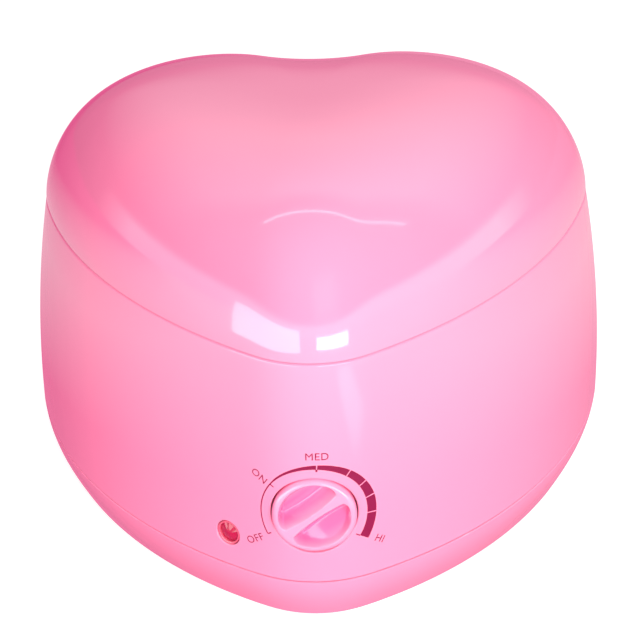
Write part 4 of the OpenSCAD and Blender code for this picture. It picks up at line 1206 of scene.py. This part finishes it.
@dataclass
class Cup:
    """Round cup with a turned-out rim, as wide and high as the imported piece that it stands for."""

    node: str
    rim_w: float
    rim_t: float
    wall: float
    corner: float
    rounds: tuple[float, float, float]
    below: float = 0.0
    stud_in: float = 0.5
    steps: int = 192

    def __post_init__(self) -> None:
        """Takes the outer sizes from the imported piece, less what hangs below the cup."""
        low, high = (np.array(k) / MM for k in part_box(self.node))
        self.axis_y, self.rim_r = (low[1] + high[1]) / 2, high[0]
        self.top, self.bottom = high[2], low[2] + self.below

    def build(self, name: str, studs: Sequence[float] = (), stud_r: float = 1.5) -> bpy.types.Object:
        """Cup: its half section turned round the axis, with studs below at distances behind the axis."""
        skin, top, bottom, wall = Skin(), self.top, self.bottom, self.wall
        r_in, rim_r, under = self.rim_r - self.rim_w, self.rim_r, self.top - self.rim_t
        below_rim, edge, mouth = self.rounds
        profile = rounded_profile([
            (0, bottom, 0), (r_in + wall, bottom, self.corner), (r_in + wall, under, below_rim),
            (rim_r, under, edge), (rim_r, top, edge), (r_in, top, mouth),
            (r_in, bottom + wall, self.corner - wall), (0, bottom + wall, 0)], 8)
        skin.turned(profile, self.steps, moved(0.0, self.axis_y, 0.0))
        foot, head = bottom - self.below, bottom + self.stud_in
        stud = [(0, foot), (stud_r, foot), (stud_r, head), (0, head)]
        for y in studs:
            skin.turned(stud, 32, moved(0.0, self.axis_y + y, 0.0))
        return skin.build(name, 30.0)


@dataclass
class Bail:
    """Wire handle of the bucket."""

    axis_y: float
    pin_x: float = 43.14
    wire_r: float = 1.5
    bend: float = 2.6
    collar_w: float = 0.8
    sections: int = 24

    def build(self) -> bpy.types.Object:
        """Bail: round wire carried along a half circle, rounded corners and two pins, with a collar on each.

        Returns:
            One mesh: a tube whose sections stand square to the path, and two closed collars.
        """
        low, high = (np.array(k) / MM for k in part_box("bail_handle"))
        radius, skin, a = high[0] - self.wire_r, Skin(), angles(self.sections)
        turn = self.bend / radius
        arc = radius * np.exp(1j * np.linspace(turn, math.pi - turn, 97))
        t = np.linspace(0, 1, 9)[1:-1]
        start, corner = radius - self.bend + 0j, radius + 0j
        ease = (1 - t) ** 2 * start + 2 * t * (1 - t) * corner + t * t * arc[0]
        half = np.concatenate([np.linspace(self.pin_x, start.real, 4) + 0j, ease])
        path = np.concatenate([half, arc, -np.conj(half[::-1])])
        slope = np.gradient(path)
        out = self.wire_r * np.cos(a) * (1j * slope / np.abs(slope))[:, None] + path[:, None]
        place = np.array([0.0, self.axis_y, (low[2] + high[2]) / 2])
        pin = np.array([self.pin_x, 0, 0])
        skin.tube(raised(out, self.wire_r * np.sin(a)) + place, pin + place, place - pin)
        collar_r = self.wire_r + self.collar_w
        collar = rounded_profile([(0, -0.5, 0), (collar_r, -0.5, 0.25), (collar_r, 0.4, 0.25), (0, 0.4, 0)])
        for side in (-1, 1):
            skin.turned(collar, POST_STEPS, lambda p, s=side: np.roll(p, 1, -1) * (s, s, 1) + s * pin + place)
        return skin.build("bail_wire", 35.0)


# ---- Finishes ----------------------------------------------------------------------------------------


class Value:
    """A shader socket with arithmetic: each operator adds a Math node."""

    def __init__(self, graph: "Graph", socket: bpy.types.NodeSocket) -> None:
        """Wraps a socket of a graph."""
        self.graph, self.socket = graph, socket

    def __add__(self, other: "Term") -> "Value":
        """Sum."""
        return self.graph.math("ADD", self, other)

    def __mul__(self, other: "Term") -> "Value":
        """Product."""
        return self.graph.math("MULTIPLY", self, other)

    def __sub__(self, other: "Term") -> "Value":
        """Difference."""
        return self.graph.math("SUBTRACT", self, other)

    def __rsub__(self, other: "Term") -> "Value":
        """Difference from a number."""
        return self.graph.math("SUBTRACT", other, self)

    def __abs__(self) -> "Value":
        """Size without sign."""
        return self.graph.math("ABSOLUTE", self)

    def clamped(self) -> "Value":
        """Held between 0 and 1."""
        return self.graph.math("MINIMUM", self.graph.math("MAXIMUM", self, 0.0), 1.0)

    def ramp(self, slope: float, start: float) -> "Value":
        """Slope times this plus start, held between 0 and 1."""
        return (self * slope + start).clamped()


Term = Union[Value, float, int]


class Graph:
    """Node tree of one material or of the world."""

    def __init__(self, owner: Union[bpy.types.Material, bpy.types.World]) -> None:
        """Empties the owner's node tree."""
        owner.use_nodes = True
        self.tree = owner.node_tree
        self.tree.nodes.clear()

    def node(self, kind: str, settings: Optional[dict] = None, **inputs: object) -> bpy.types.Node:
        """Adds a node.

        Args:
            kind: Type of the node.
            settings: Its own settings, such as an operation, set before its sockets.
            inputs: Values or links of its sockets, by name with underscores for spaces, or by number
                after the letter i.

        Returns:
            The new node.
        """
        node = self.tree.nodes.new(kind)
        for key, value in (settings or {}).items():
            setattr(node, key, value)
        for key, value in inputs.items():
            index = int(key[1:]) if key[0] == "i" and key[1:].isdigit() else key.replace("_", " ")
            self.feed(node.inputs[index], value)
        return node

    def feed(self, socket: bpy.types.NodeSocket, value: object) -> None:
        """Links a socket, or sets its value."""
        if isinstance(value, (Value, bpy.types.NodeSocket)):
            self.tree.links.new(getattr(value, "socket", value), socket)
        elif socket.type == "RGBA" and len(value) == 3:
            socket.default_value = (*value, 1.0)
        else:
            socket.default_value = value

    def math(self, operation: str, *terms: Term) -> Value:
        """Adds a Math node on the terms."""
        inputs = {f"i{k}": term for k, term in enumerate(terms)}
        return Value(self, self.node("ShaderNodeMath", {"operation": operation}, **inputs).outputs[0])

    def mix(self, factor: Term, first: object, second: object) -> bpy.types.NodeSocket:
        """Mixes two colours."""
        node = self.node("ShaderNodeMix", {"data_type": "RGBA"}, i0=factor, i6=first, i7=second)
        return node.outputs[2]

    def place(self) -> bpy.types.NodeSocket:
        """Object coordinates."""
        return self.node("ShaderNodeTexCoord").outputs["Object"]

    def noise(self, scale: float, detail: float, stretch: Optional[Colour] = None) -> Value:
        """Noise about 0.5 over the object: cells per metre, octaves, and a factor per axis if asked."""
        vector = self.place()
        if stretch:
            vector = self.node("ShaderNodeMapping", None, Vector=vector, Scale=stretch).outputs[0]
        node = self.node("ShaderNodeTexNoise", None, Vector=vector, Scale=scale, Detail=detail)
        return Value(self, node.outputs[0])

    def vector(self, operation: str, first: object, second: object) -> bpy.types.Node:
        """Adds a Vector Math node on two vectors."""
        return self.node("ShaderNodeVectorMath", {"operation": operation}, i0=first, i1=second)

    def radius(self, centre_y: float) -> Value:
        """Distance from an upright axis on the middle plane."""
        from_axis = self.vector("SUBTRACT", self.place(), (0.0, centre_y, 0.0)).outputs[0]
        flat = self.vector("MULTIPLY", from_axis, (1.0, 1.0, 0.0)).outputs[0]
        return Value(self, self.vector("LENGTH", flat, (0.0, 0.0, 0.0)).outputs["Value"])

    def split(self, vector: bpy.types.NodeSocket) -> tuple[Value, ...]:
        """The x, y and z of a vector."""
        node = self.node("ShaderNodeSeparateXYZ", None, Vector=vector)
        return tuple(Value(self, node.outputs[k]) for k in range(3))

    def rays(self, *kinds: str) -> Value:
        """1 for rays of any of the kinds, by the Light Path node's names."""
        path = self.node("ShaderNodeLightPath")
        first, *others = (Value(self, path.outputs[k]) for k in kinds)
        return sum(others, first).clamped() if others else first

    def bump(self, height: Value, distance: float) -> bpy.types.NodeSocket:
        """Normal bent by a height, in metres."""
        return self.node("ShaderNodeBump", None, Height=height, Distance=distance, Strength=1.0).outputs[0]

    def finish(self, shader: bpy.types.Node, kind: str = "ShaderNodeOutputMaterial") -> None:
        """Links a shader to the tree's output."""
        self.tree.links.new(shader.outputs[0], self.node(kind).inputs["Surface"])


def srgb(red: int, green: int, blue: int) -> Colour:
    """Colour given as it looks on a screen, as linear values."""
    def linear(v: float) -> float:
        """One channel."""
        return v / 12.92 if v <= 0.04045 else ((v + 0.055) / 1.055) ** 2.4
    return tuple(linear(v / 255) for v in (red, green, blue))


class Grain(Enum):
    """How a finish varies over its surface: cells per metre, octaves and height in metres of its noise."""

    PLAIN = None
    SPUN = "spun"
    MOULDED = (260.0, 1.0, 0.0000035)
    DRAWN = (900.0, 2.0, 0.00001)
    MATT = (1400.0, 3.0, 0.00006)


@dataclass(frozen=True)
class Finish:
    """One finish: colour, gloss and grain, and where asked, painted shade in hollows."""

    name: str
    colour: Colour
    roughness: float
    metallic: float = 0.0
    coat: float = 0.0
    grain: Grain = Grain.PLAIN
    shade: float = 0.06
    sheen: float = 0.5
    # Painted shade: an axis, a level along it in metres, and a darker pink that the colour turns to below
    # that level, deep in the knob's scoops.
    painted_scoop_shade: Optional[tuple[tuple[float, float, float], float, Colour]] = None

    COAT_ROUGHNESS = 0.03
    CLOUD = (60.0, 3.0)
    CLOUD_ROUGHNESS = 0.3
    PAINTED_SHADE_SLOPE = 330.0
    SPUN_AXIS_Y = 0.003
    SPUN_PITCH = 9000.0

    def material(self) -> bpy.types.Material:
        """Builds the material, or finds it if it is there already."""
        name = "finish_" + self.name
        found = bpy.data.materials.get(name)
        if found:
            return found
        made = bpy.data.materials.new(name)
        graph = Graph(made)
        cloud = graph.noise(*self.CLOUD)
        colour = graph.mix(cloud, self.colour, tuple(c * (1 - self.shade) for c in self.colour))
        # Painted shade: below the level along the axis, deep in the scoops, the colour blends to the darker
        # pink.
        if self.painted_scoop_shade:
            axis, level, shaded_pink = self.painted_scoop_shade
            height = Value(graph, graph.vector("DOT_PRODUCT", graph.place(), axis).outputs["Value"])
            colour = graph.mix(((level - height) * self.PAINTED_SHADE_SLOPE).clamped(), colour, shaded_pink)
        rough = ((cloud - 0.5) * (self.CLOUD_ROUGHNESS * self.roughness) + self.roughness).clamped()
        inputs: dict[str, object] = {"Base_Color": colour, "Roughness": rough, "Metallic": self.metallic,
                                     "Coat_Weight": self.coat, "Coat_Roughness": self.COAT_ROUGHNESS,
                                     "Specular_IOR_Level": self.sheen}
        if self.grain is Grain.SPUN:
            rings_cut = graph.math("SINE", graph.radius(self.SPUN_AXIS_Y) * self.SPUN_PITCH) * 0.5
            inputs["Normal"] = graph.bump(rings_cut + graph.noise(700.0, 2.0, (1, 1, 8.0)), 0.000012)
        elif self.grain is not Grain.PLAIN:
            scale, detail, height = self.grain.value
            inputs["Normal"] = graph.bump(graph.noise(scale, detail), height)
        graph.finish(graph.node("ShaderNodeBsdfPrincipled", None, **inputs))
        return made


STEEL = {"metallic": 1.0, "grain": Grain.DRAWN}
GLOSS = {"coat": 1.0, "grain": Grain.MOULDED, "shade": 0.02, "sheen": 1.0}
PRINT = Finish("scale_print", srgb(130, 0, 62), 0.5)
RING = Finish("lamp_ring", srgb(226, 88, 118), 0.12, coat=0.8, sheen=0.8)
FINISHES = {finish.name: finish for finish in (
    Finish("shell_pink", srgb(252, 144, 182), 0.1, **GLOSS),
    # The knob's scoops get painted shade: a darker, deeper pink below the rim's level along the knob's axis.
    Finish("knob_pink", srgb(252, 150, 188), 0.1, **GLOSS,
           painted_scoop_shade=((0.0, -0.99863, 0.05234), 0.0856, srgb(252, 112, 168))),
    Finish("lens_red", srgb(184, 12, 66), 0.06, coat=0.8, shade=0.2),
    Finish("bulb_glass", srgb(250, 150, 90), 0.05, coat=0.5),
    Finish("spun_aluminium", srgb(205, 207, 210), 0.26, 1.0, grain=Grain.SPUN),
    Finish("steel_wire", srgb(200, 201, 203), 0.18, **STEEL),
    Finish("screw_steel", srgb(190, 191, 194), 0.28, **STEEL),
    Finish("foot_rubber", srgb(62, 60, 62), 0.75, grain=Grain.MATT),
    Finish("silicone", srgb(228, 226, 222), 0.55, grain=Grain.MATT),
    Finish("mica_band", srgb(186, 150, 92), 0.4, 0.6, grain=Grain.DRAWN),
    Finish("glass_fibre", srgb(232, 226, 208), 0.9, grain=Grain.MATT, shade=0.2),
    Finish("ceramic_body", srgb(226, 214, 190), 0.5, grain=Grain.MATT),
    Finish("brass_bright", srgb(206, 168, 92), 0.25, **STEEL),
    Finish("white_plastic", srgb(232, 231, 228), 0.35, grain=Grain.MOULDED),
    Finish("black_plastic", srgb(40, 39, 41), 0.4, grain=Grain.MOULDED),
    Finish("lead_red", srgb(186, 40, 34), 0.45),
    Finish("lead_white", srgb(226, 224, 218), 0.45),
    Finish("lead_pink", srgb(228, 142, 168), 0.45),
    Finish("lead_green", srgb(150, 178, 60), 0.45))}


# ---- Studio and camera -------------------------------------------------------------------------------


@dataclass(frozen=True)
class Softbox:
    """An area lamp that faces a point of the object."""

    name: str
    place: tuple[float, float, float]
    aim: tuple[float, float, float]
    size: tuple[float, float]
    power: float
    glossy: bool = True
    colour: Colour = (1.0, 1.0, 1.0)

    OVERHEAD = 0.8

    def build(self) -> bpy.types.Object:
        """Adds the lamp, its width kept level."""
        data = bpy.data.lights.new(self.name, "AREA")
        data.shape, data.size, data.size_y = "RECTANGLE", *self.size
        data.energy, data.color = self.power, self.colour
        obj = linked(self.name, data)
        back = (Vector(self.place) - Vector(self.aim)).normalized()
        up = Vector((0.0, 1.0, 0.0) if abs(back.z) > self.OVERHEAD else (0.0, 0.0, 1.0))
        across = up.cross(back).normalized()
        turn = Matrix((across, back.cross(across), back)).transposed().to_4x4()
        obj.matrix_world = Matrix.Translation(self.place) @ turn
        obj.visible_camera, obj.visible_glossy = False, self.glossy
        return obj


@dataclass
class Studio:
    """White floor, a room that is white behind and dim and rosy on the left, and soft lamps.

    Each ramp below is the slope and start of a value that is held between 0 and 1, over a place on the
    floor in metres or over a direction of the sky.
    """

    floor_size: float = 6.0
    haze: tuple[Colour, Colour] = ((0.78, 0.08, 0.27), (0.92, 0.30, 0.47))
    fill: float = 0.43
    side_fill: float = 0.84
    room: float = 0.25
    behind: float = 0.85
    cove: float = 1.15
    floor_bounce: float = 0.38
    floor_white: float = 0.52
    floor_glow: float = 0.74
    glint: float = 0.8
    glint_at: tuple[float, float] = (0.115, -0.2)
    rose: Colour = (1.1, 0.36, 0.68)
    lamps: tuple[Softbox, ...] = (
        Softbox("key_lamp", (0.34, -1.18, 0.58), (0.0, 0.0, 0.06), (0.6, 0.6), 20.5, glossy=False,
                colour=(1.0, 0.98, 0.9)),
        Softbox("tip_lamp", (0.185, -0.50, 0.045), (0.006, -0.08, 0.098), (0.30, 0.085), 0.4),
        Softbox("patch_lamp", (-0.24, -0.33, 0.06), (-0.013, -0.077, 0.101), (0.40, 0.12), 0.32),
        Softbox("strip_lamp", (0.35, -0.22, 1.05), (0.35, -0.2, 0.1), (2.5, 0.03), 0.5),
    )

    WHITE = (1.0, 1.0, 1.0)
    SEEN = ("Is Camera Ray", "Is Transmission Ray")
    CARD_T = 20.0
    FLOOR_RIGHT, FLOOR_AWAY, FLOOR_AHEAD = (2.2, 0.75), (8.0, -1.13), (-1.6, 0.7)
    GLINT_WIDE, GLINT_DEEP = (-90.0, 2.7), (-90.0, 4.05)
    SKY_BEHIND, SKY_NEAR_RIGHT, SKY_HIGH = (6.0, 0.2), (1.0, 1.4), (2.2, -0.45)
    COVE_LOW, COVE_AHEAD = (-16.0, 2.4), (-4.0, 1.9)
    SIDE_WIDE, SIDE_BEHIND, SIDE_LOW = (2.0, -0.8), (2.0, -0.5), (-0.7, 1.3)
    ROSE_LEFT, ROSE_LOW, HAZE_LEFT = (1.3, 0.8), 1.5, (0.6, 0.8)

    def build_floor(self) -> None:
        """Floor that is white to the eye and keeps the object's shadow, and rosy on the left otherwise."""
        half = self.floor_size / 2 / MM
        corners = np.array([[-half, -half, 0], [half, -half, 0], [half, half, 0], [-half, half, 0]])
        skin = Skin()
        face, rear = skin.add(corners), skin.add(corners - [0, 0, self.CARD_T])
        skin.quads += [face[None], rear[::-1][None]]
        skin.band(rear, face)
        floor = skin.build("studio_floor", 30.0)
        made = bpy.data.materials.new("floor_white")
        graph = Graph(made)
        x, y, _ = graph.split(graph.place())
        right = x.ramp(*self.FLOOR_RIGHT)
        away = graph.math("SQRT", x * x + y * y).ramp(*self.FLOOR_AWAY)
        near_x, near_y = (abs(v - k) for v, k in zip((x, y), self.glint_at))
        glint = near_x.ramp(*self.GLINT_WIDE) * near_y.ramp(*self.GLINT_DEEP)
        tint = graph.mix(right, tuple(c * self.floor_bounce for c in self.rose), (self.floor_bounce,) * 3)
        veil = graph.mix(away * y.ramp(*self.FLOOR_AHEAD), graph.mix(right, *self.haze), self.WHITE)
        bounce, plain = (graph.node("ShaderNodeBsdfDiffuse", None, Color=k)
                         for k in (tint, (self.floor_white,) * 3))
        glow = graph.node("ShaderNodeEmission", None, Color=self.WHITE, Strength=self.floor_glow)
        glossy = graph.node("ShaderNodeEmission", None, Color=veil, Strength=glint * self.glint + 1.0)
        both = graph.node("ShaderNodeAddShader", None, i0=plain.outputs[0], i1=glow.outputs[0])
        lit = graph.node("ShaderNodeMixShader", None, i0=graph.rays("Is Glossy Ray"), i1=bounce.outputs[0],
                         i2=glossy.outputs[0])
        seen = graph.rays(*self.SEEN)
        graph.finish(graph.node("ShaderNodeMixShader", None, i0=seen, i1=lit.outputs[0], i2=both.outputs[0]))
        floor.data.materials.append(made)

    def build_sky(self) -> None:
        """World: soft fill, strongest at the sides, rosy on the left; mirrors see white past a dim room."""
        world = bpy.data.worlds.new("studio_sky")
        bpy.context.scene.world = world
        graph = Graph(world)
        seen, mirror = graph.rays(*self.SEEN), graph.rays("Is Glossy Ray")
        x, y, z = graph.split(graph.node("ShaderNodeTexCoord").outputs["Generated"])
        cove = z.ramp(*self.COVE_LOW) * y.ramp(*self.COVE_AHEAD)
        side = graph.math("MAXIMUM", abs(x).ramp(*self.SIDE_WIDE), y.ramp(*self.SIDE_BEHIND))
        spread = side * z.ramp(*self.SIDE_LOW) * (self.side_fill - self.fill) + self.fill
        dim = y.ramp(*self.SKY_BEHIND) * x.ramp(*self.SKY_NEAR_RIGHT) * (self.behind - self.room) + self.room
        level = spread + mirror * (cove * (self.cove - dim) + dim - spread)
        slope, start = self.ROSE_LEFT
        right = (x * slope + start + z * self.ROSE_LOW + mirror).clamped()
        tint = graph.mix(right, self.rose, self.WHITE)
        hazy = mirror * (1.0 - z.ramp(*self.SKY_HIGH)) * (1.0 - cove)
        veil = graph.mix(hazy, tint, graph.mix(x.ramp(*self.HAZE_LEFT), *self.haze))
        colour, strength = graph.mix(seen, veil, self.WHITE), level + seen * (1.0 - level)
        sky = graph.node("ShaderNodeBackground", None, Color=colour, Strength=strength)
        graph.finish(sky, "ShaderNodeOutputWorld")

    def build(self) -> None:
        """Builds floor, sky and lamps."""
        self.build_floor()
        self.build_sky()
        for lamp in self.lamps:
            lamp.build()


@dataclass(frozen=True)
class Viewpoint:
    """Where the camera stands: a little to one side, above, and slightly rolled."""

    elevation: float = 29.11
    yaw: float = 1.05
    roll: float = -1.16
    distance: float = 0.560
    lens: float = 94.76
    sensor: float = 36.0
    clip: float = 0.01
    aim: tuple[float, float, float] = (0.00133, -0.00093, 0.0615)

    def build(self) -> bpy.types.Object:
        """Adds the camera and makes it the scene's own."""
        el, yaw, roll = (math.radians(k) for k in (self.elevation, self.yaw, self.roll))
        back = np.array([math.sin(yaw) * math.cos(el), -math.cos(yaw) * math.cos(el), math.sin(el)])
        right = np.cross(-back, [0, 0, 1])
        right /= np.linalg.norm(right)
        up = np.cross(right, -back)
        across = right * math.cos(roll) + up * math.sin(roll)
        above = -right * math.sin(roll) + up * math.cos(roll)
        data = bpy.data.cameras.new("studio_camera")
        data.lens, data.sensor_width, data.clip_start = self.lens, self.sensor, self.clip
        obj = linked("studio_camera", data)
        matrix = np.eye(4)
        matrix[:3, :3] = np.stack([across, above, back], 1)
        matrix[:3, 3] = np.array(self.aim) + back * self.distance
        obj.matrix_world = Matrix(matrix.tolist())
        bpy.context.scene.camera = obj
        return obj


# ---- Putting it together -----------------------------------------------------------------------------


class Dresser:
    """Gives pieces their finish and body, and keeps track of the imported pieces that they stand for."""

    def __init__(self) -> None:
        """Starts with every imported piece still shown."""
        self.gone: set[str] = set()

    def piece(self, obj: bpy.types.Object, slot: str, body: str, *nodes: str,
              finish: Optional[Finish] = None) -> None:
        """Dresses a new piece.

        Args:
            obj: The piece.
            slot: The record's material slot.
            body: Body that it moves with.
            nodes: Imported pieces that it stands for.
            finish: Its finish, where it isn't the slot's own.
        """
        obj.data.materials.clear()
        obj.data.materials.append((finish or FINISHES[slot]).material())
        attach(obj, body)
        if nodes:
            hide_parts(*nodes)
        self.gone.update(nodes)
        LOG.info("piece %s rides %s and stands for %s", obj.name, body, nodes or "nothing")

    def packed(self) -> None:
        """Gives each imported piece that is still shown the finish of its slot."""
        for part in frame["record"]["subparts"]:
            if part["node"] in self.gone:
                continue
            obj = frame["nodes"][part["node"]]
            material = FINISHES[part["material_slot"]].material()
            if not obj.material_slots:
                obj.data.materials.append(material)
            for slot in obj.material_slots:
                slot.material = material
            LOG.info("packed piece %s keeps its mesh", part["node"])


def build_pieces(dresser: Dresser) -> None:
    """Builds and dresses every piece that doesn't come with the frame."""
    shape = Shape()
    wall = HeartWall(shape)
    dial, lamp, inlet = DialSizes(), LampSizes(), InletSizes()
    places = WallPlaces(shape, wall, dial, lamp, inlet)
    shell = BodyShell(shape, wall, places, dial, lamp, inlet)
    pot = Cup("wax_pot", 6.2, 1.2, 1.0, 5.0, (0.6, 0.45, 1.2))
    well = Cup("heating_well", 12.5, 1.2, 1.2, 6.0, (0.5, 0.3, 1.6), below=5.0)
    scale = DialPrint(wall, shape, dial)
    lens = LampLens(lamp, places.lamp, shape.wall)
    opening_r, screw_r = well.rim_r - well.rim_w + well.wall + WELL_ROOM, well.rim_r - FLANGE_SCREW_IN
    dresser.piece(shell.build_housing(), "shell_pink", "body", "housing")
    dresser.piece(shell.build_deck(pot.axis_y, opening_r, screw_r), "shell_pink", "body", "deck")
    dresser.piece(shell.build_plate_bosses(), "shell_pink", "body")
    dresser.piece(Lid(shape, wall).build(), "shell_pink", "lid", "lid")
    dresser.piece(BaseTray(shape, wall, shell).build(), "shell_pink", "body", "base_tray")
    dresser.piece(Knob(dial, places.dial).build(), "knob_pink", "knob", "knob")
    dresser.piece(scale.build_scale(), "shell_pink", "body", finish=PRINT)
    for word in scale.words:
        dresser.piece(scale.build_word(*word), "shell_pink", "body", finish=PRINT)
    dresser.piece(lens.build(), "lens_red", "body", "lamp_lens")
    dresser.piece(lens.build_ring(), "lens_red", "body", finish=RING)
    dresser.piece(CordInlet(inlet, places.inlet).build(), "black_plastic", "body", "cord_gland")
    dresser.piece(pot.build("wax_bucket"), "spun_aluminium", "pot", "wax_pot")
    dresser.piece(Bail(pot.axis_y).build(), "steel_wire", "bail", "bail_handle")
    dresser.piece(well.build("heater_well", (-10.0, 10.0)), "spun_aluminium", "body", "heating_well")


def main() -> None:
    """Builds the pieces, the studio and the camera."""
    logging.basicConfig(level=logging.INFO, format="%(name)s: %(message)s")
    bpy.context.scene.view_settings.view_transform = "Standard"
    dresser = Dresser()
    build_pieces(dresser)
    dresser.packed()
    Studio().build()
    Viewpoint().build()


if __name__ == "__main__":
    main()
